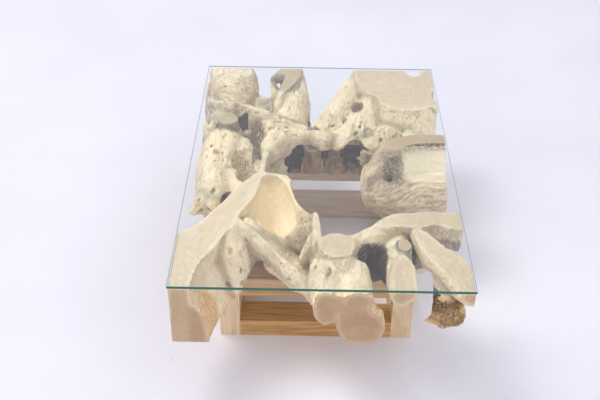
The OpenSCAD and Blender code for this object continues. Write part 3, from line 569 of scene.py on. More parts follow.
# %% Limbs of air
hollows = [
    [[-156, -92, 196, 20, 16], [-146, -120, 176, 36, 54], [-136, -176, 160, 54, 78],
     [-126, -226, 148, 54, 72], [-114, -262, 138, 34, 50]],
    [[10, -640, 205, 14, 12], [16, -560, 190, 10, 9], [22, -500, 175, 4, 4]],
    [[460, 112, 176, 8, 30], [350, 110, 178, 7, 28], [300, 104, 180, 5, 20], [262, 92, 184, 3, 12]],
    [[120, 324, 250, 18, 26], [130, 388, 160, 20, 28], [138, 452, 60, 24, 32], [144, 496, -20, 26, 36]],
    [[336, 606, 240, 30, 50], [336, 606, 100, 26, 46], [336, 606, -20, 20, 40]],
    [[-138, 556, 148, 12, 16], [-142, 530, 142, 14, 24], [-142, 490, 128, 10, 22]],
    [[-268, 324, 220, 22, 60], [-250, 296, 198, 34, 96], [-224, 252, 184, 36, 110], [-194, 206, 176, 20, 90]],
    [[-226, 196, 190, 14, 70], [-206, 140, 182, 10, 60], [-188, 84, 176, 7, 44]],
    [[-246, 88, 206, 36, 34], [-240, 60, 156, 42, 44], [-232, 14, 116, 36, 44], [-224, -30, 92, 30, 36]],
    [[-352, 396, 200, 5, 60], [-318, 386, 190, 5, 60], [-288, 382, 180, 4, 50]],
    [[-100, 204, 100, 20, 15], [-40, 200, 104, 20, 15], [40, 200, 104, 20, 15], [150, 204, 102, 20, 15]],
    [[84, 338, 158, 9, 16], [83, 308, 146, 7, 12]],
    [[-152, 192, 50, 22, 40], [-118, 200, 56, 34, 40], [-84, 206, 54, 30, 40]],
    [[60, 198, 106, 22, 22], [104, 196, 112, 34, 26], [146, 200, 108, 26, 22]],
    [[128, -374, 130, 18, 50], [136, -430, 112, 22, 70], [152, -490, 112, 18, 80], [158, -540, 110, 12, 60]],
    [[346, -588, 128, 3, 12], [346, -590, 90, 3, 14], [344, -590, 45, 3, 12]],
    [[-250, 480, 30, 30, 26], [-300, 476, 24, 40, 26], [-360, 480, 30, 40, 30]],
    [[-222, -44, 214, 40, 38], [-224, -32, 160, 38, 40], [-222, -18, 96, 32, 34],
     [-220, -8, 44, 14, 16]],
    [[-326, 66, 214, 26, 22], [-326, 68, 180, 16, 14], [-326, 70, 160, 6, 6]],
    [[-284, -150, 128, 14, 14], [-292, -122, 118, 11, 12], [-300, -96, 110, 5, 6]]]
hollow_out(hollows)

# %% [markdown]
# The trunk heart sits in a box of its own under the lips of the back roots, and the roots above are cut
# clear of it. Both are let into each other by a few millimetres, so that the wood stays one. A box is a
# field too: the distance to the nearest of its six walls.

# %% The trunk heart
def box_field(lowest, highest):
    walls = [np.maximum(lowest[i] - AXES[i], AXES[i] - highest[i]) for i in range(3)]
    return np.maximum(np.maximum(walls[0][:, None, None], walls[1][None, :, None]), walls[2][None, None, :])

HEART_LOW = np.array([-135.0, 196.0, 219.0])
HEART_HIGH = np.array([168.0, 338.0, 315.0])
LET_IN = 6
heart_box = box_field(HEART_LOW, HEART_HIGH)
trunk_heart = [
    [[-170, 270, 30, 74, 90], [-60, 268, 30, 62, 90], [60, 268, 30, 62, 90], [200, 270, 30, 74, 90]],
    [[-28, 232, -20, 30, 24], [-26, 226, 40, 28, 26], [-26, 224, 110, 26, 28]],
    [[60, 230, -20, 22, 18], [58, 224, 60, 18, 16], [56, 220, 110, 16, 14]],
    [[-120, 226, -20, 26, 22], [-122, 220, 60, 22, 20], [-124, 214, 110, 20, 18]],
    [[150, 226, -20, 28, 24], [154, 218, 60, 22, 20], [156, 212, 110, 20, 18]]]
heart_scallops = [
    [[-80, 205, 90, 26, 26], [-78, 212, 50, 20, 20], [-78, 214, 10, 10, 10]],
    [[105, 200, 96, 34, 30], [104, 210, 56, 28, 24], [104, 216, 12, 12, 12]],
    [[16, 204, 96, 12, 14], [16, 210, 60, 9, 11], [16, 214, 30, 5, 6]]]
roots_round = np.maximum(wood, -(heart_box + LET_IN))
wood = np.full(COUNT, FAR_AWAY, np.float32)
grow(trunk_heart)
hollow_out(heart_scallops)
wood = melt(roots_round, np.maximum(wood, heart_box - LET_IN), softness=10.0)
print("with its heart the wood fills", filling())

# %% [markdown]
# Worms and rot have eaten small pits into the outer wood, thick in some places and none in others. Each
# patch is told by its middle, its reach, how many pits it has and how wide they are. Only spots close under
# the skin are kept, and each pit is drawn out along the fibre, as soft years rot before the hard ones.
# A value at a place between the grid points is blended from the eight corners of the cube round it.

# %% Pits
CUBE = [(i, j, k) for i in (0, 1) for j in (0, 1) for k in (0, 1)]

def blend_corners(t, value_at):
    value = 0
    for a, b, c in CUBE:
        share = np.abs(1 - a - t[:, 0]) * np.abs(1 - b - t[:, 1]) * np.abs(1 - c - t[:, 2])
        value = value + share * value_at(a, b, c)
    return value

def read_grid(grid, places):
    g = np.clip((places - LOWEST) / STEP, 0, np.array(grid.shape) - 1.001)
    cell = g.astype(int)
    x, y, z = cell.T
    return blend_corners(g - cell, lambda a, b, c: grid[x + a, y + b, z + c])

eaten = np.full(COUNT, FAR_AWAY, np.float32)
TRIES = 10
PIT_DEPTH, PIT_DEPTH_SPREAD = 2, 4

def eat_pits(middle, reach, count, wide, seed):
    dice = np.random.default_rng(seed)
    spots = np.array(middle) + (0, 0, FRAME_TOP) + dice.uniform(-1, 1, (count*TRIES, 3)) * reach
    spots = spots[np.abs(read_grid(wood, spots) + PIT_DEPTH) < PIT_DEPTH_SPREAD][:count]
    runs = np.stack([read_grid(fibre[i], spots) for i in range(3)], 1)
    for spot, run, size in zip(spots, runs, dice.uniform(0.6, 1.25, len(spots)) * wide):
        a, b = grid_box(spot - 2.5*size - 6, spot + 2.5*size + 6)
        part = tuple(slice(a[i], b[i]) for i in range(3))
        x, y, z = np.meshgrid(*[AXES[i][part[i]] - spot[i] for i in range(3)], indexing="ij")
        along = x*run[0] + y*run[1] + z*run[2]
        pit = (np.sqrt(np.maximum(x*x + y*y + z*z - 0.75*along*along, 0)) - size).astype(np.float32)
        wood[part] = -melt(-wood[part], pit, softness=4.0)
        eaten[part] = np.minimum(eaten[part], pit)
    return len(spots)
PITTED = [((-310, 540, 120), (70, 60, 50), 34, 3.6), ((-330, 60, 120), (60, 120, 60), 46, 3.4),
          ((-190, 260, 130), (60, 60, 50), 40, 4.0), ((-140, 240, 130), (50, 40, 40), 26, 4.4),
          ((160, 250, 130), (60, 50, 40), 16, 3.8), ((60, 280, 120), (60, 60, 40), 14, 4.0),
          ((-236, -380, 110), (26, 60, 60), 34, 4.6), ((250, 250, 120), (60, 40, 40), 9, 3.6),
          ((-320, -110, 100), (60, 50, 40), 18, 4.2), ((20, -450, 130), (60, 40, 40), 12, 4.0)]
FIRST_PIT_SEED = 40
print("pits eaten:", [eat_pits(*patch, FIRST_PIT_SEED + i) for i, patch in enumerate(PITTED)])

# %% [markdown]
# ## The skin
# No old wood is smooth. Two noises, one in waves of a hand's breadth and one in waves of a thumb's, push
# the skin in and out by a few millimetres. A coarse lattice of random numbers, joined by smooth curves
# along each axis in turn, is quick to make for millions of points. The seed keeps it the same each time.

# %% Waves in the skin
def lattice_noise(cell, seed):
    dice = np.random.default_rng(seed)
    weights = []
    for axis in AXES:
        x = (axis - axis[0]) / cell + 1.5
        place = np.floor(x).astype(int)
        t = x - place
        table = np.zeros((len(axis), int(x[-1]) + 4), np.float32)
        for shift, share in enumerate(((1 - t)**3, 3*t**3 - 6*t**2 + 4, -3*t**3 + 3*t**2 + 3*t + 1, t**3)):
            table[np.arange(len(axis)), place + shift - 1] = share / 6
        weights.append(table)
    lattice = dice.uniform(-2.2, 2.2, [w.shape[1] for w in weights]).astype(np.float32)
    return np.einsum("ai,bj,ck,ijk->abc", *weights, lattice, optimize=True)
hand_waves, thumb_waves = lattice_noise(cell=46, seed=1), lattice_noise(cell=18, seed=2)
wood += 2.6*hand_waves + 1.1*thumb_waves
print("the broad noise lies from", round(float(hand_waves.min()), 2), "to", round(float(hand_waves.max()), 2))

# %% [markdown]
# Wood fibre runs along a limb, so gouges, streaks and fine lines must follow it. The headings of the limbs
# are blurred a little, and the strongest direction is found at each place. The place is then squeezed along
# that direction: a noise that is read at squeezed places comes out as long streaks.

# %% The way of the fibre
def blur(grid, radius):
    for axis in range(3):
        around = [(0, 0)] * 3
        around[axis] = (radius + 1, radius)
        sums = np.cumsum(np.pad(grid, around, mode="edge"), axis=axis, dtype=np.float32)
        n = grid.shape[axis]
        grid = (np.take(sums, range(2*radius + 1, n + 2*radius + 1), axis) - np.take(sums, range(n), axis))
        grid = grid / (2*radius + 1)
    return grid

PAIRS = [(0, 0), (1, 1), (2, 2), (0, 1), (0, 2), (1, 2)]
headings = {(i, j): blur(fibre[i] * fibre[j], radius=round(12/STEP)) for i, j in PAIRS}
DRAWN_TOGETHER = 0.88

def squeeze(places):
    tensor = np.zeros((len(places), 3, 3))
    for (i, j), grid in headings.items():
        tensor[:, i, j] = tensor[:, j, i] = read_grid(grid, places)
    strength, directions = np.linalg.eigh(tensor)
    along = directions[:, :, 2]
    return places - DRAWN_TOGETHER * along * (along * places).sum(1)[:, None]
print("a place at the front strip", squeeze(np.array([[-370.0, -540, 400]]))[0].round(), "once squeezed")

# %% [markdown]
# The weather has carved the soft years out between the hard ones. A noise of random numbers at whole
# places, blended in between, is read at the squeezed places of every point near the skin, and moves the
# skin in and out by a few millimetres. The bowl is rubbed smooth, so it gets less.

# %% Gouges along the fibre
LATTICE = 64

def grain_noise(places, cell, seed):
    lattice = np.random.default_rng(seed).uniform(-1, 1, (LATTICE,) * 3).astype(np.float32)
    g = places / cell + 500
    corner = np.floor(g).astype(int)
    t = g - corner
    x, y, z = corner.T
    return blend_corners(t*t*(3 - 2*t), lambda a, b, c: lattice[(x + a) % LATTICE, (y + b) % LATTICE,
                                                                (z + c) % LATTICE])
NEAR_SKIN = 6
near_skin = np.argwhere(np.abs(wood) < NEAR_SKIN)
places = LOWEST + near_skin * STEP
drawn_out = squeeze(places)
in_bowl = (((places[:, 0] + 140)/80)**2 + ((places[:, 1] + 175)/120)**2) < 1
long_gouges = grain_noise(drawn_out, cell=13, seed=5)
dents = grain_noise(places, cell=11, seed=6)
fine_gouges = grain_noise(drawn_out, cell=8, seed=7)
carved = 2.0*long_gouges + 1.3*dents + 1.1*fine_gouges
wood[tuple(near_skin.T)] += carved * np.where(in_bowl, 0.25, 1.0)
print("carved", len(places), "points near the skin, by up to", round(float(np.abs(carved).max()), 1), "mm")

# %% [markdown]
# Then the saw comes. Everything outside the sawn block is cut away, which leaves the flats that the glass
# rests on, and the square faces at the front and the sides. The flats end a hair under the clear pads,
# because two faces in one plane would shade each other black. The depth of a cut below the old skin is
# kept for later: it tells sawn wood from weathered wood, and its contours are the growth rings.

# %% The saw
half_width, half_length, block_top = 398.0, 598.0, 409.7
sawn = box_field((-half_width, -half_length, FRAME_TOP), (half_width, half_length, block_top))
body = np.maximum(wood, sawn).astype(np.float32)
print("the saw leaves", round(float((body < 0).sum()) * STEP**3 / 1e6, 1), "litres of wood")

# %% [markdown]
# ## One stump, thirteen roots
# The wood is one, but the table is made of thirteen roots that were sawn apart and dowelled together, so it
# is split along the saw joints of the construction model. Each root has a letter, in the order of the
# names, and a joint is named by the letters of its two roots. It is an upright plane, given by the x and y
# of a point and the direction that it faces. Each grid point in the wood gets the number of its root,
# counted from one, and air gets nought. The rules are tried in order, and the right front root takes the
# rest.

# %% Whose wood is where
NAMES = ["front_left_root", "front_centre_root", "front_right_root", "corner_root", "right_front_root",
         "right_root", "back_right_root", "back_left_limb", "back_left_root", "left_tail_root", "left_root",
         "left_knob_root", "trunk_heart"]
LETTERS = "abcdefghijkl"
JOINTS = {"ab": (-42, -380, 0), "ak": (-220, -95, 143), "kl": (-330, -68, -90), "kj": (-320, 205, 90),
          "kh": (-227, 162, 21), "jh": (-243, 300, 0), "ij": (-300, 478, 90), "ih": (-212, 500, 0),
          "gh": (-20, 330, -19), "gf": (250, 178, 90), "be": (97, -350, 0), "ce": (210, -322, 90),
          "de": (290, -346, 90), "cd": (257, -380, 0)}

def beyond(joint, place):
    x, y, facing = JOINTS[joint]
    return (place[:, 0] - x)*math.cos(math.radians(facing)) + (place[:, 1] - y)*math.sin(math.radians(facing))

def which_root(place):
    x, y = place[:, 0], place[:, 1]
    heart = np.all((place > HEART_LOW) & (place < HEART_HIGH), axis=1)
    left = (beyond("ak", place) > 0) & (beyond("gh", place) < 0) & (y > -220) & (x < 60)
    rules = [(heart, "trunk_heart"), (left & (y > 478) & (x < -212), "back_left_root"),
             (left & (y > 205) & (y <= 478) & (x < -243), "left_tail_root"),
             (left & (y < -68) & (x < -262), "left_knob_root"),
             (left & (beyond("kh", place) > 0), "back_left_limb"), (left, "left_root"),
             ((x < -42) & (y < 200), "front_left_root"),
             ((y > 178) | ((x < 150) & (y > 100)), "back_right_root"), ((x > 150) & (y > -150), "right_root"),
             ((y < -400) & (x < 172), "front_centre_root"), (x < 97, "front_centre_root"),
             ((y < -346) & (x > 257), "corner_root"),
             ((y < -322) & (x > 160) & (x <= 257), "front_right_root")]
    numbers = [NAMES.index(name) + 1 for rule, name in rules]
    return np.select([rule for rule, name in rules], numbers, NAMES.index("right_front_root") + 1)
spots = np.argwhere(body < 0)
owner = np.zeros(COUNT, np.int8)
owner[tuple(spots.T)] = which_root(LOWEST + STEP * spots)
print({name: int((owner == i + 1).sum()) for i, name in enumerate(NAMES)})

# %% [markdown]
# A bulge of one root that pokes through a joint would make a crumb of its own. So the lumps of joined
# points with the same number are found, by letting every point take the smallest mark of its neighbours
# again and again. A small lump goes to the root beside it, and if there is none, it goes. Bubbles of air
# that are shut in by wood are found in the same way and filled.

# %% Crumbs
SMALLEST_LUMP = 900
LARGEST_BUBBLE = 2000
BESIDE = np.array([(1, 0, 0), (-1, 0, 0), (0, 1, 0), (0, -1, 0), (0, 0, 1), (0, 0, -1)])

def neighbours(grid):
    return [(np.take(grid, range(n - 1), axis), np.take(grid, range(1, n), axis))
            for axis, n in enumerate(grid.shape)]

def lumps(grid):
    number = (np.cumsum(grid > 0) - 1).reshape(grid.shape)
    lump, links = np.arange(number.max() + 1), []
    for (p, q), (a, b) in zip(neighbours(grid), neighbours(number)):
        same = (p == q) & (p > 0)
        links.append((a[same], b[same]))
    a, b = (np.concatenate(side) for side in zip(*links))
    while True:
        smallest = lump.copy()
        np.minimum.at(smallest, a, lump[b])
        np.minimum.at(smallest, b, lump[a])
        smallest = smallest[smallest]
        if (smallest == lump).all():
            return lump
        lump = smallest

def small_lumps(grid, limit):
    lump_grid = np.full(COUNT, -1)
    lump_grid[grid > 0] = lumps(grid)
    size = np.bincount(lump_grid[grid > 0])
    for small in np.flatnonzero((size > 0) & (size < limit)):
        crumb = np.argwhere(lump_grid == small)
        around = tuple(np.clip(crumb[:, None] + BESIDE, 0, COUNT - 1).reshape(-1, 3).T)
        yield tuple(crumb.T), around, lump_grid[around] != small

crumbs, bubbles = 0, 0
for attempt in range(2):
    for crumb, around, outside in small_lumps(owner, SMALLEST_LUMP):
        near = owner[around][outside & (owner[around] > 0)]
        owner[crumb] = np.bincount(near).argmax() if len(near) else 0
        crumbs += 1
air_near_wood = ((owner == 0) & (body < 8)).astype(np.int8)
for bubble, around, outside in small_lumps(air_near_wood, LARGEST_BUBBLE):
    if (owner[around][outside] > 0).all():
        owner[bubble] = np.bincount(owner[around][outside]).argmax()
        bubbles += 1
body = np.where(owner > 0, np.minimum(body, -0.01), np.maximum(body, 0.01))
print(crumbs, "crumbs set right and", bubbles, "bubbles of air filled")

# %% [markdown]
# To draw a skin round the wood, each little cube of the grid whose corners don't all belong together gets
# one point, at the middle of the crossings on its edges, and each grid edge between two owners gets a
# four-sided face between the four cubes round it. The method is called surface nets. As air counts as
# an owner too, this gives the skin and the sawn faces in the joints at once, and every root is closed.

# %% Surface nets
EDGES = [(a, b) for a in range(8) for b in range(a + 1, 8)
         if np.abs(np.subtract(CUBE[a], CUBE[b])).sum() == 1]

def surface_nets(field, owner):
    nx, ny, nz = field.shape
    parts = [owner[i:nx-1+i, j:ny-1+j, k:nz-1+k] for i, j, k in CUBE]
    mixed = np.any([part != parts[0] for part in parts[1:]], axis=0)
    cells = np.argwhere(mixed)
    number = -np.ones(mixed.shape, np.int64)
    number[mixed] = np.arange(len(cells))
    whose = np.stack([part[mixed] for part in parts], 1)
    value = np.stack([field[tuple((cells + corner).T)] for corner in CUBE], 1)
    total, hits = np.zeros((2, len(cells), 3)), np.zeros((2, len(cells)))
    for a, b in EDGES:
        skin = (whose[:, a] > 0) != (whose[:, b] > 0)
        t = np.where(skin, value[:, a] / np.where(skin, value[:, a] - value[:, b], 1), 0.5)
        place = np.array(CUBE[a]) + t[:, None] * np.subtract(CUBE[b], CUBE[a])
        for kind, crossed in enumerate((skin, whose[:, a] != whose[:, b])):
            total[kind] += place * crossed[:, None]
            hits[kind] += crossed
    kind, row = (hits[0] == 0).astype(int), np.arange(len(cells))
    middle = total[kind, row] / hits[kind, row][:, None]
    return LOWEST + (cells + middle) * STEP, number, whose

def faces_across(owner, number, axis):
    sides = [(1, 2), (2, 0), (0, 1)][axis]
    here, there = neighbours(owner)[axis]
    edges = np.argwhere(here != there)
    limit = np.array(owner.shape) - 1
    edges = edges[np.all([(edges[:, side] > 0) & (edges[:, side] < limit[side]) for side in sides], axis=0)]
    faces = []
    for back in ((1, 1), (0, 1), (0, 0), (1, 0)):
        cell = edges.copy()
        cell[:, sides] -= back
        faces.append(number[tuple(cell.T)])
    return np.stack(faces, 1), here[tuple(edges.T)], there[tuple(edges.T)]
points, number, whose = surface_nets(body, owner)
across = [faces_across(owner, number, axis) for axis in range(3)]
faces, here, there = (np.concatenate(part) for part in zip(*across))
print("skin and joints of", len(points), "points and", len(faces), "faces")

# %% [markdown]
# A joint is flat, so the points in it are moved onto its plane, by a few millimetres at most. That makes
# the seam a clean saw line. Two more roots touch the front left root along the plane that cuts off the
# left root. The trunk heart meets the roots above it in a box instead.

# %% Clean joints
PLANES = {tuple(sorted(LETTERS.index(letter) for letter in joint)): joint for joint in JOINTS}
PLANES[0, 7] = PLANES[0, 11] = "ak"
HEART = len(NAMES)
one_root = np.where(whose > 0, whose, 99).min(1)
other_root = whose.max(1)
between_two = np.all((whose == 0) | (whose == one_root[:, None]) | (whose == other_root[:, None]), axis=1)
moved = 0
for (a, b), joint in PLANES.items():
    mine = np.flatnonzero(between_two & (one_root == a + 1) & (other_root == b + 1))
    off = beyond(joint, points[mine])
    close = np.abs(off) < 1.2*STEP
    facing = math.radians(JOINTS[joint][2])
    points[mine[close]] -= off[close][:, None] * np.array([math.cos(facing), math.sin(facing), 0])
    moved += int(close.sum())
mine = np.flatnonzero(between_two & (one_root < HEART) & (other_root == HEART))
gaps = np.concatenate([HEART_LOW - points[mine], HEART_HIGH - points[mine]], axis=1)
nearest_wall = np.abs(gaps).argmin(1)
points[mine, nearest_wall % 3] += gaps[np.arange(len(mine)), nearest_wall]
print("moved", moved + len(mine), "points onto the joints")

# %% [markdown]
# Values that the finish needs are read from the grid at each point of the skin: how deep the saw cut, how
# near a hollow is, and how much wood lies round about, which is less on a ridge and more in a pocket.

# %% Values for the finish
def soft_step(value, start, end):
    t = np.clip((value - start) / (end - start), 0, 1)
    return t*t*(3 - 2*t)
cut_depth = -read_grid(wood, points)
filled = (body < 0).astype(np.float32)
pocket_small = read_grid(blur(filled, radius=round(8/STEP)), points)
pocket_wide = read_grid(blur(filled, radius=round(33/STEP)), points)
in_pit = soft_step(read_grid(eaten, points), start=3, end=-1)
at_side = np.maximum(np.abs(points[:, 0]) - half_width, np.abs(points[:, 1]) - half_length)
end_cut = soft_step(at_side, start=-3, end=-1) * (points[:, 2] < block_top - 2)
print("sawn points:", int((cut_depth > 3).sum()), " points in pits:", int((in_pit > 0.5).sum()))

# %% [markdown]
# Some places have a colour that no rule gives: dark rot in the hollows, with painted shade in the deep
# hollows and under the lips of the back roots, golden stain low on the legs, grey weathering, with painted
# shade on faces that lie in shade, the pale split face, and wood that is rubbed smooth, where the painted
# shade of pockets and pits is left out; some of these patches only lighten places that lie in shade, a
# painted light. Each is laid on as patches, told by a middle, a reach along each axis and a strength, and
# the finish tears the borders of the colours later.

# %% Stains
def lay_on(*patches):
    value = np.zeros(len(points))
    for x, y, height, wide, long, tall, share in patches:
        away = (((points[:, 0] - x)/wide)**4 + ((points[:, 1] - y)/long)**4
                + ((points[:, 2] - FRAME_TOP - height)/tall)**4) ** 0.25
        value = np.maximum(value, share * soft_step(away, start=1.15, end=0.7))
    return value
# Dark brown rot stain, partly painted shade: the patches in deep hollows, in the scallops under the lips of
# the back roots and in the gap between the front roots darken them as shade would.
brown_stain_and_hollow_shade = lay_on(
    (-240, 290, 90, 44, 54, 66, 0.46), (-264, 326, 130, 22, 24, 34, 1.0), (-206, 216, 96, 32, 40, 70, 0.46),
    (-206, 130, 130, 14, 70, 60, 0.6), (-240, 60, 96, 46, 50, 50, 0.42), (-228, -16, 96, 32, 40, 60, 0.85),
    (-118, 200, 60, 64, 30, 60, 0.8), (146, -430, 90, 50, 90, 90, 0.95), (-290, -120, 116, 14, 34, 16, 1.0),
    (-26, 240, 128, 30, 26, 40, 0.62), (83, 322, 136, 10, 24, 16, 0.5), (346, -592, 90, 6, 12, 50, 1.0),
    (334, -512, 116, 40, 30, 24, 0.75), (-80, 206, 84, 30, 34, 26, 1.0), (-79, 208, 52, 22, 30, 28, 0.95),
    (-76, 210, 24, 12, 24, 18, 0.8), (105, 206, 84, 42, 34, 26, 0.95), (106, 208, 52, 30, 30, 28, 0.9),
    (98, 210, 24, 14, 24, 18, 0.7), (-212, 258, 110, 34, 60, 60, 0.55), (336, -528, 98, 50, 40, 26, 0.6),
    (16, 206, 78, 13, 20, 22, 0.95), (160, -400, 60, 26, 70, 90, 1.0), (258, -356, 100, 20, 44, 70, 0.9),
    (345, 106, 156, 120, 13, 26, 1.0), (126, 380, 140, 14, 30, 60, 0.9), (-15, 372, 86, 30, 44, 56, 0.6),
    (150, 252, 128, 40, 32, 26, 0.42), (250, 236, 116, 34, 30, 32, 0.42), (-190, 250, 122, 60, 56, 40, 0.34),
    (-340, 20, 104, 60, 110, 60, 0.28), (-300, 500, 110, 80, 50, 60, 0.26), (300, -334, 84, 120, 14, 60, 0.4),
    (-380, 400, 84, 16, 60, 30, 0.5), (352, -566, 56, 40, 14, 60, 0.5), (228, 20, 110, 40, 70, 60, 0.36),
    (226, 76, 120, 46, 60, 60, 0.52), (300, 104, 150, 90, 30, 40, 0.3))
gold_stain = lay_on(
    (90, -598, 80, 120, 8, 110, 0.7), (-296, -560, 60, 62, 60, 80, 0.62), (-130, -226, 60, 26, 40, 22, 0.3),
    (345, -545, 72, 60, 56, 58, 1.0), (-262, -262, 176, 12, 60, 16, 0.35), (-330, -60, 90, 60, 60, 60, 0.3),
    (-120, -400, 60, 60, 60, 60, 0.35), (60, -420, 90, 60, 60, 50, 0.25))
# Grey weathering, partly painted shade: the patches on the front of the right front ledge, low under the back
# roots and on the back wall darken faces that lie in shade.
grey_stain_and_shade = lay_on(
    (330, -320, 90, 120, 40, 60, 0.7), (-303, 246, 180, 48, 48, 30, 0.9), (120, 250, 80, 80, 60, 50, 0.35),
    (-160, 210, 60, 90, 60, 50, 0.35), (-120, 540, 190, 70, 120, 14, 0.8),
    (360, -500, 190, 90, 150, 14, 0.12), (214, -560, 190, 50, 110, 14, 0.3),
    (228, -402, 190, 26, 34, 14, 0.7), (42, -407, 190, 60, 60, 14, 0.3),
    (340, -290, 190, 120, 50, 14, 0.3), (250, 500, 190, 170, 150, 14, 0.22),
    (-330, 380, 130, 90, 40, 50, 0.5), (-170, 440, 100, 60, 50, 50, 0.6), (370, 140, 190, 160, 60, 14, 0.3))
pale_face = lay_on((344, 62, 134, 100, 46, 52, 1.0))
# Wood rubbed smooth, where the painted pocket shade, flecks and pits are left out; the patches at the burl
# and inside the front leg only lighten places that lie in shade, a painted light.
rubbed_and_unshaded = lay_on((-140, -180, 110, 80, 120, 110, 1.0), (-222, -150, 180, 60, 200, 40, 0.7),
                (-240, -372, 120, 56, 70, 66, 0.62), (-300, -480, 90, 80, 150, 90, 0.5),
                (344, 62, 134, 100, 46, 52, 0.7), (-100, 500, 130, 60, 110, 60, 0.3))
stains = {"brown": brown_stain_and_hollow_shade, "gold": gold_stain, "grey": grey_stain_and_shade}
print("stained points:", {colour: int((mask > 0.5).sum()) for colour, mask in stains.items()})

# %% [markdown]
# The light must run over a seam without a break. So the slope of the skin is worked out for the whole
# stump first, and each root takes it with it.

# %% Slope of the skin
outer = np.concatenate([faces[there == 0], faces[here == 0][:, ::-1]])
face_slope = np.cross(points[outer[:, 2]] - points[outer[:, 0]], points[outer[:, 3]] - points[outer[:, 1]])
slope = np.zeros_like(points)
for k in range(4):
    np.add.at(slope, outer[:, k], face_slope)
slope /= np.maximum(np.linalg.norm(slope, axis=1), 1e-9)[:, None]
print("mean upward slope", round(float(slope[:, 2].mean()), 3))

# %% [markdown]
# Now each root becomes an object of its own, with its part of the skin and its sawn faces. The masks go
# with it as attributes, one number at each point, and the squeezed places as vectors. The trunk's own fibre
# stands upright, so its streaks run down.

# %% Thirteen roots
MASKS = {"cut_depth": cut_depth, "pocket_small": pocket_small, "pocket_wide": pocket_wide, "in_pit": in_pit,
         "end_cut": end_cut, "pale_face": pale_face, "brown_stain_and_hollow_shade": brown_stain_and_hollow_shade, "gold_stain": gold_stain,
         "grey_stain_and_shade": grey_stain_and_shade, "rubbed_and_unshaded": rubbed_and_unshaded}
squeezed = squeeze(points) / 1000
in_heart = np.all((points > HEART_LOW - 1) & (points < HEART_HIGH + 1), axis=1)
squeezed[in_heart] = points[in_heart] * (0.001, 0.001, 0.00012)

def its_faces(label, joints):
    this_side = (here == label) & ((there > 0) == joints)
    that_side = (there == label) & ((here > 0) == joints)
    return np.concatenate([faces[this_side], faces[that_side][:, ::-1]])

def make_root(name, label):
    skin, sawn_faces = its_faces(label, False), its_faces(label, True)
    mine = np.concatenate([skin, sawn_faces])
    used = np.unique(mine)
    renumber = np.zeros(len(points), np.int64)
    renumber[used] = np.arange(len(used))
    mesh = bpy.data.meshes.new(name)
    mesh.from_pydata((points[used] / 1000).tolist(), [], renumber[mine].tolist())
    for mask, value in MASKS.items():
        mesh.attributes.new(mask, "FLOAT", "POINT").data.foreach_set("value", value[used].astype(np.float32))
    place = mesh.attributes.new("fibre_place", "FLOAT_VECTOR", "POINT")
    place.data.foreach_set("vector", squeezed[used].astype(np.float32).ravel())
    mesh.polygons.foreach_set("use_smooth", np.ones(len(mine), bool))
    flat = np.zeros(3 * len(mine), np.float32)
    mesh.polygons.foreach_get("normal", flat)
    corners = slope[mine.ravel()]
    corners[4*len(skin):] = np.repeat(flat.reshape(-1, 3)[len(skin):], 4, axis=0)
    mesh.normals_split_custom_set(corners.tolist())
    root = bpy.data.objects.new(name + "_wood", mesh)
    scene.collection.objects.link(root)
    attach(root, "base")
    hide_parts(name)
    ends = np.sort(np.concatenate([mine[:, [k, (k + 1) % 4]] for k in range(4)]), axis=1)
    count = np.unique(ends[:, 0] * len(points) + ends[:, 1], return_counts=True)[1]
    print(name, len(mine), "faces,", len(sawn_faces), "of them in joints,")
    print("    edges open:", int((count % 2).sum()), " shared by four:", int((count > 2).sum()))
    return root
roots = {name: make_root(name, i + 1) for i, name in enumerate(NAMES)}

# %% [markdown]
# ## The wood's finish
# Three effects make this wood, and each is a node group, because the pale, the swirling and the dark
# wood all use them. The first gives streaks along the fibre: two noises over the squeezed places, one
# broad and one fine, and dark flecks that come in spells. Helpers for reckoning with values and for
# starting and ending a group come first.

# %% Streaks along the fibre
def reckon(tree, operation, *values):
    new = add(tree, "Math", operation=operation)
    for socket, value in zip(new.inputs, values):
        set_socket(tree, socket, value)
    return new.outputs[0]

def times(tree, first, second):
    return reckon(tree, "MULTIPLY", first, second)

def new_group(name, inputs, outputs):
    group = bpy.data.node_groups.new(name, "ShaderNodeTree")
    for label in inputs:
        group.interface.new_socket(label, in_out="INPUT", socket_type="NodeSocketFloat")
    for label in outputs:
        group.interface.new_socket(label, in_out="OUTPUT", socket_type="NodeSocketFloat")
    return group, group.nodes.new("NodeGroupInput").outputs, group.nodes.new("NodeGroupOutput").inputs

def put_out(group, going, *values):
    for value, socket in zip(values, going):
        group.links.new(value, socket)
    print("node group", group.name, "with", len(group.nodes), "nodes")

def attribute(tree, name, output="Fac"):
    return add(tree, "Attribute", attribute_name=name).outputs[output]

def weighted_sum(tree, vector, share, other):
    new = add(tree, "VectorMath", operation="MULTIPLY_ADD")
    tree.links.new(vector, new.inputs[0])
    new.inputs[1].default_value = (share, share, share)
    tree.links.new(other, new.inputs[2])
    return new.outputs[0]

fibre_group, coming, going = new_group("fibre_streaks", ["Broad Scale", "Fine Scale"],
                                       ["Broad", "Fine", "Flecks"])
place = attribute(fibre_group, "fibre_place", "Vector")
where = object_place(fibre_group)
broad = noise(fibre_group, place, coming[0], 5.0, 0.62)
fine = noise(fibre_group, place, coming[1], 4.0, 0.7)
flecks = noise(fibre_group, weighted_sum(fibre_group, where, 0.3, place), 82.0, 4.0, 0.62)
flecks = stretch(fibre_group, flecks, 0.52, 0.66)
spells = stretch(fibre_group, noise(fibre_group, where, 10.0, 2.0), 0.36, 0.56)
put_out(fibre_group, going, stretch(fibre_group, broad, 0.33, 0.67), stretch(fibre_group, fine, 0.3, 0.7),
        times(fibre_group, flecks, spells))

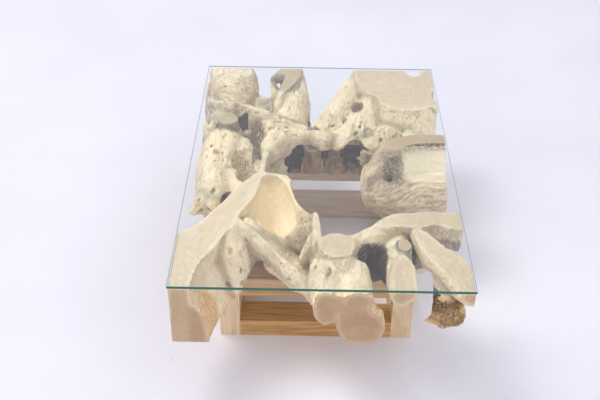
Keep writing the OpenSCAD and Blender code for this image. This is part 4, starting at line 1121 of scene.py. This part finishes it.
# %% [markdown]
# The second draws the growth rings on sawn wood. The depth of the cut below the old skin grows towards the
# middle of a limb, so lines of equal depth are rings. A noise makes them wander, and a sine turns
# depth into light and dark years. The same depth tells the pale rim, which is sapwood, from the core.

# %% Growth rings
FULL_TURN = 6.283
ring_group, coming, going = new_group("growth_rings", ["Ring Width"], ["Sawn", "Core", "Rings"])
depth = attribute(ring_group, "cut_depth")
wander = times(ring_group, noise(ring_group, object_place(ring_group), 14.0, 4.0), 26.0)
wavy = reckon(ring_group, "ADD", depth, wander)
turns = reckon(ring_group, "DIVIDE", times(ring_group, wavy, FULL_TURN), coming[0])
rings = stretch(ring_group, reckon(ring_group, "SINE", turns), -0.2, 1.0)
put_out(ring_group, going, stretch(ring_group, depth, 0.6, 3.0), stretch(ring_group, depth, 5.0, 16.0), rings)

# %% [markdown]
# The third gives the small holes and pits of weathered root wood: the dark middles of a cell pattern, let
# through only in some places by a slow noise.

# %% Worm holes
pit_group, coming, going = new_group("worm_pits", ["Scale", "Amount"], ["Pits"])
where = object_place(pit_group)
swirl = add(pit_group, "TexNoise", {"Vector": where, "Scale": 30.0, "Detail": 3.0}).outputs["Color"]
bent_place = weighted_sum(pit_group, swirl, 0.03, where)
cells = add(pit_group, "TexVoronoi", {"Vector": bent_place, "Scale": coming[0]}).outputs["Distance"]
let_through = times(pit_group, stretch(pit_group, noise(pit_group, where, 11.0, 2.0), 0.5, 0.62), coming[1])
put_out(pit_group, going, times(pit_group, stretch(pit_group, cells, 0.34, 0.14), let_through))

# %% [markdown]
# One recipe makes the three woods. A finish is built up in layers: each has a mask, a share of it that
# counts, and a colour. Weathered wood starts from a light tone with warm streaks. The stains that were laid
# on the skin come next, some of them partly painted shade, with borders torn by the streaks, and then
# painted shade in pockets and pits. Sawn wood has a pale rim, a core and rings, and end grain has tones of
# its own.

# %% The recipe for all root wood
def bump(tree, paint, height, strength, distance):
    new = add(tree, "Bump", {"Height": height, "Strength": strength, "Distance": distance})
    tree.links.new(new.outputs[0], paint.inputs["Normal"])

def group_node(tree, group, **values):
    new = tree.nodes.new("ShaderNodeGroup")
    new.node_tree = group
    for label, value in values.items():
        new.inputs[label.replace("_", " ")].default_value = value
    return new.outputs

def torn(tree, mask, streaks):
    return stretch(tree, reckon(tree, "MULTIPLY_ADD", streaks, 0.6, attribute(tree, mask)), 0.62, 1.02)

def layered(tree, tone, layers):
    for mask, share, colour in layers:
        tone = blend_colours(tree, times(tree, mask, share), tone, colour)
    return tone

def wood_finish(name, light, warm, brown, dark, rim, heart, streak_scale=34.0, fine_share=0.35):
    material, tree, paint = new_material(name)
    broad, fine, flecks = group_node(tree, fibre_group, Broad_Scale=streak_scale, Fine_Scale=streak_scale * 4)
    sawn, core, rings = group_node(tree, ring_group, Ring_Width=11.0)
    clouds = noise(tree, object_place(tree), 16.0, 4.0)
    # One minus the rubbed mask: where fine lines, flecks, pits and the painted pocket shade count.
    rough_and_shaded = reckon(tree, "SUBTRACT", 1.0, attribute(tree, "rubbed_and_unshaded"))
    pit = times(tree, group_node(tree, pit_group, Scale=95.0, Amount=0.7)[0], rough_and_shaded)
    # Pits are darker: the worm-hole pattern, and painted shade in the carved pits.
    eaten = reckon(tree, "MAXIMUM", pit, times(tree, attribute(tree, "in_pit"), 0.6))
    flecks = times(tree, flecks, times(tree, rough_and_shaded, 0.56))
    fine_lines = times(tree, stretch(tree, fine, 0.55, 1.0), fine_share)
    # Painted shade: the more wood lies round about, the darker the pocket.
    small_pocket = stretch(tree, attribute(tree, "pocket_small"), 0.54, 0.8)
    wide_pocket = stretch(tree, attribute(tree, "pocket_wide"), 0.55, 0.8)
    shadow = times(tree, reckon(tree, "MAXIMUM", small_pocket, wide_pocket), 0.42)
    weathered = layered(tree, light, [
        (broad, 1.0, warm), (fine_lines, rough_and_shaded, brown), (stretch(tree, clouds, 0.5, 0.68), 0.5, warm),
        (flecks, 1.0, brown), (torn(tree, "gold_stain", fine), 0.85, shade(228, 182, 122)),
        (torn(tree, "grey_stain_and_shade", broad), 1.0, shade(168, 150, 132)), (shadow, rough_and_shaded, brown),
        (torn(tree, "pale_face", broad), 0.85, shade(255, 240, 206)), (eaten, 1.0, brown),
        (torn(tree, "brown_stain_and_hollow_shade", fine), 1.0, dark)])
    flat = layered(tree, rim, [
        (core, 1.0, heart), (rings, 0.3, shade(196, 168, 138)),
        (attribute(tree, "grey_stain_and_shade"), 1.0, shade(186, 162, 132)),
        (broad, 0.42, shade(206, 178, 142)), (fine, 0.34, shade(176, 144, 110))])
    end = layered(tree, shade(230, 206, 170), [
        (core, 1.0, shade(196, 166, 132)), (attribute(tree, "gold_stain"), 0.6, shade(150, 112, 80)),
        (rings, 0.26, shade(150, 116, 86)), (stretch(tree, clouds, 0.4, 0.7), 0.3, shade(218, 192, 156)),
        (fine, 0.2, shade(150, 116, 90))])
    cut_tone = blend_colours(tree, attribute(tree, "end_cut"), flat, end)
    tree.links.new(layered(tree, weathered, [(sawn, 0.94, cut_tone)]), paint.inputs["Base Color"])
    tree.links.new(reckon(tree, "MULTIPLY_ADD", fine, 0.18, 0.6), paint.inputs["Roughness"])
    height = reckon(tree, "SUBTRACT", times(tree, broad, 0.9), pit)
    height = reckon(tree, "MULTIPLY_ADD", fine, 0.5, reckon(tree, "SUBTRACT", height, flecks))
    rough_skin = times(tree, rough_and_shaded, reckon(tree, "SUBTRACT", 1.0, sawn))
    bump(tree, paint, times(tree, height, reckon(tree, "MAXIMUM", rough_skin, 0.1)), 0.8, 0.004)
    return material
root_wood = wood_finish("pale_root_wood", shade(255, 241, 209), shade(248, 222, 183), shade(164, 126, 90),
                        shade(78, 56, 42), shade(252, 239, 213), shade(241, 222, 194))
print(root_wood.name, "has", len(root_wood.node_tree.nodes), "nodes")

# %% [markdown]
# The right root shows dark, swirling grain, and the trunk heart is darker, with brown streaks that run
# down; it is nearly black in its hollows under the lips, where the dark stain is painted shade. Both are
# the same recipe with other tones and stronger streaks.

# %% Swirling wood and dark heartwood
swirling_wood = wood_finish("swirling_root_wood", shade(255, 238, 206), shade(204, 170, 132),
                            shade(122, 92, 66), shade(66, 46, 34), shade(214, 184, 146), shade(192, 160, 124),
                            streak_scale=58.0, fine_share=0.5)
heart_wood = wood_finish("dark_heart_wood", shade(212, 178, 140), shade(146, 112, 84), shade(98, 72, 54),
                         shade(54, 42, 38), shade(190, 166, 140), shade(160, 136, 112), streak_scale=40.0,
                         fine_share=0.7)
for name, root in roots.items():
    finish, slot = {"right_root": (swirling_wood, "grained_root_wood"),
                    "trunk_heart": (heart_wood, "dark_root_wood")}.get(name, (root_wood, "root_wood"))
    root.data.materials.append(finish)
print("finishes:", sorted({root.data.materials[0].name for root in roots.values()}))

# %% [markdown]
# ## The frame's timber
# The frame is sawn teak too, but straight-grained and clean. A plank's grain is a pack of layers, cut
# through: the sine of a noise, long drawn out along the timber by a Mapping node. Posts, side rails and
# cross rails run three ways. The posts are pale, and the front rails are darker and golden, which is
# painted shade, as they stand in the shade under the roots. Each timber has a light tone, a tone for the
# lines and one for the pores.

# %% Timber in three directions
TIMBERS = {"post": ((1, 1, 0.08), (230, 204, 168), (210, 180, 142), (176, 140, 102)),
           # The front rails' darker, golden tones are painted shade.
           "front": ((0.06, 1, 1), (206, 162, 108), (172, 124, 72), (120, 80, 44)),
           "back": ((0.06, 1, 1), (214, 192, 168), (190, 166, 138), (150, 122, 96)),
           "side": ((1, 0.06, 1), (214, 186, 150), (188, 156, 116), (150, 116, 80))}

def timber_finish(name, drawing_out, *tones):
    light, line, pore = (shade(*tone) for tone in tones)
    material, tree, paint = new_material(name + "_timber")
    drawn = add(tree, "Mapping", {"Vector": object_place(tree), "Scale": drawing_out}).outputs[0]
    figure = add(tree, "TexNoise", {"Vector": drawn, "Scale": 16.0, "Detail": 4.0, "Distortion": 0.8})
    layers = reckon(tree, "SINE", times(tree, figure.outputs[0], 46.0))
    pores = noise(tree, drawn, 190.0, 4.0, 0.7)
    tone = layered(tree, light, [(stretch(tree, layers, -0.2, 1.0), 0.7, line),
                                 (stretch(tree, pores, 0.5, 0.75), 0.45, pore)])
    tree.links.new(tone, paint.inputs["Base Color"])
    tree.links.new(stretch(tree, pores, -0.8, 1.6), paint.inputs["Roughness"])
    bump(tree, paint, pores, 0.3, 0.0006)
    return material
timbers = {name: timber_finish(name, *looks) for name, looks in TIMBERS.items()}
print("timber finishes:", [timber.name for timber in timbers.values()])

# %% [markdown]
# The timbers themselves come from the construction model, so they only change their material.

# %% Dressing the frame
def dress(name, material):
    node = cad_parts[name]
    node.data.materials.clear()
    node.data.materials.append(material)
posts_and_rails = [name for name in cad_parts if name.endswith(("post", "rail"))]
for name in posts_and_rails:
    kind = "post" if name.endswith("post") else name.split("_")[0]
    dress(name, timbers.get(kind, timbers["side"]))
dress("root_dowels", timbers["back"])
print("timber for", len(posts_and_rails), "posts and rails")

# %% [markdown]
# ## The glass
# The sheet is clear from above and dark green at its edge, because there the eye looks through a long way
# of it. It is modelled as by hand: a cube of the sheet's size with its edges bevelled, and two finishes,
# one for the clear faces and one for the ground edge.

# %% The sheet of glass
glass_low, glass_high = (Vector(corner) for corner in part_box("glass_top"))
bpy.ops.object.select_all(action="DESELECT")
bpy.ops.mesh.primitive_cube_add(size=1, location=(glass_low + glass_high) / 2)
sheet = bpy.context.object
sheet.name = "glass_sheet"
sheet.scale = glass_high - glass_low
bpy.ops.object.transform_apply(location=True, rotation=True, scale=True)
arris = sheet.modifiers.new("arris", "BEVEL")
arris.width, arris.segments = 0.001, 1
bpy.ops.object.modifier_apply(modifier="arris")
print("glass sheet", [round(v, 3) for v in sheet.dimensions], "m with", len(sheet.data.polygons), "faces")

# %% [markdown]
# A pane that is clear all through would keep the lamps' light from the wood, because a path tracer can't
# find a lamp through bending glass. So rays that only ask for light pass straight through it. A noise
# gives the glass its faint ripple and blends its two tints, and the pads and the steel are made alike.

# %% Clear glass
def speckled(name, scale, detail, first, second):
    material, tree, paint = new_material(name)
    speckle = noise(tree, object_place(tree), scale, detail)
    tree.links.new(blend_colours(tree, speckle, shade(*first), shade(*second)), paint.inputs["Base Color"])
    return material, tree, paint, speckle

def let_lamps_through(tree, paint, tint):
    output = [n for n in tree.nodes if n.type == "OUTPUT_MATERIAL"][0]
    clear = add(tree, "BsdfTransparent", {"Color": tint})
    mixed = add(tree, "MixShader", {"Fac": add(tree, "LightPath").outputs["Is Shadow Ray"]})
    tree.links.new(paint.outputs[0], mixed.inputs[1])
    tree.links.new(clear.outputs[0], mixed.inputs[2])
    tree.links.new(mixed.outputs[0], output.inputs["Surface"])
glass, tree, paint, ripple = speckled("table_glass", 5.0, 1.0, (249, 253, 252), (252, 254, 254))
paint.inputs["Transmission Weight"].default_value = 1.0
paint.inputs["Metallic"].default_value = 0.0
paint.inputs["IOR"].default_value = 1.5
paint.inputs["Roughness"].default_value = 0.0
bump(tree, paint, ripple, 0.05, 0.0005)
let_lamps_through(tree, paint, shade(250, 253, 252))
print("clear glass with", len(tree.nodes), "nodes")

# %% [markdown]
# The ground edge is dark teal where it is seen from outside. Seen from within, through the pane, it is
# painted as a thin pale line, a painted reflection, and Geometry's Backfacing tells the two apart.

# %% The ground edge of the glass
edge, tree, paint = new_material("glass_edge")
grinding = noise(tree, object_place(tree), 260.0, 3.0)
outside = blend_colours(tree, grinding, shade(14, 92, 80), shade(30, 116, 102))
inside = add(tree, "NewGeometry").outputs["Backfacing"]
# From within, the edge takes a pale colour: a painted reflection.
tree.links.new(blend_colours(tree, inside, outside, shade(176, 196, 190)), paint.inputs["Base Color"])
tree.links.new(stretch(tree, grinding, -0.6, 2.4), paint.inputs["Roughness"])
sheet.data.materials.append(glass)
sheet.data.materials.append(edge)
for face in sheet.data.polygons:
    face.material_index = int(abs(face.normal.z) < 0.9)
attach(sheet, "glass")
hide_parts("glass_top")
print("edge faces:", sum(face.material_index for face in sheet.data.polygons))

# %% [markdown]
# ## Pads and steel
# Small pads of clear plastic keep the glass off the wood. They are so clear that a low alpha does for
# them. The screws that hold the roots on the frame are zinc-plated steel, with the spangle of the zinc;
# they are seen only from below.

# %% Pads, screws and washers
pad, tree, paint = speckled("clear_pad", 600.0, 2.0, (250, 252, 252), (254, 255, 255))[:3]
paint.inputs["Alpha"].default_value = 0.1
paint.inputs["Metallic"].default_value = 0.0
paint.inputs["Roughness"].default_value = 0.4
dress("glass_pads", pad)
steel, tree, paint, spangle = speckled("zinc_steel", 420.0, 4.0, (150, 152, 156), (206, 207, 208))
tree.links.new(stretch(tree, spangle, -0.8, 2.0), paint.inputs["Roughness"])
paint.inputs["Metallic"].default_value = 1.0
for name in ("coach_screws", "screw_washers"):
    dress(name, steel)
print("pads and fixings dressed")
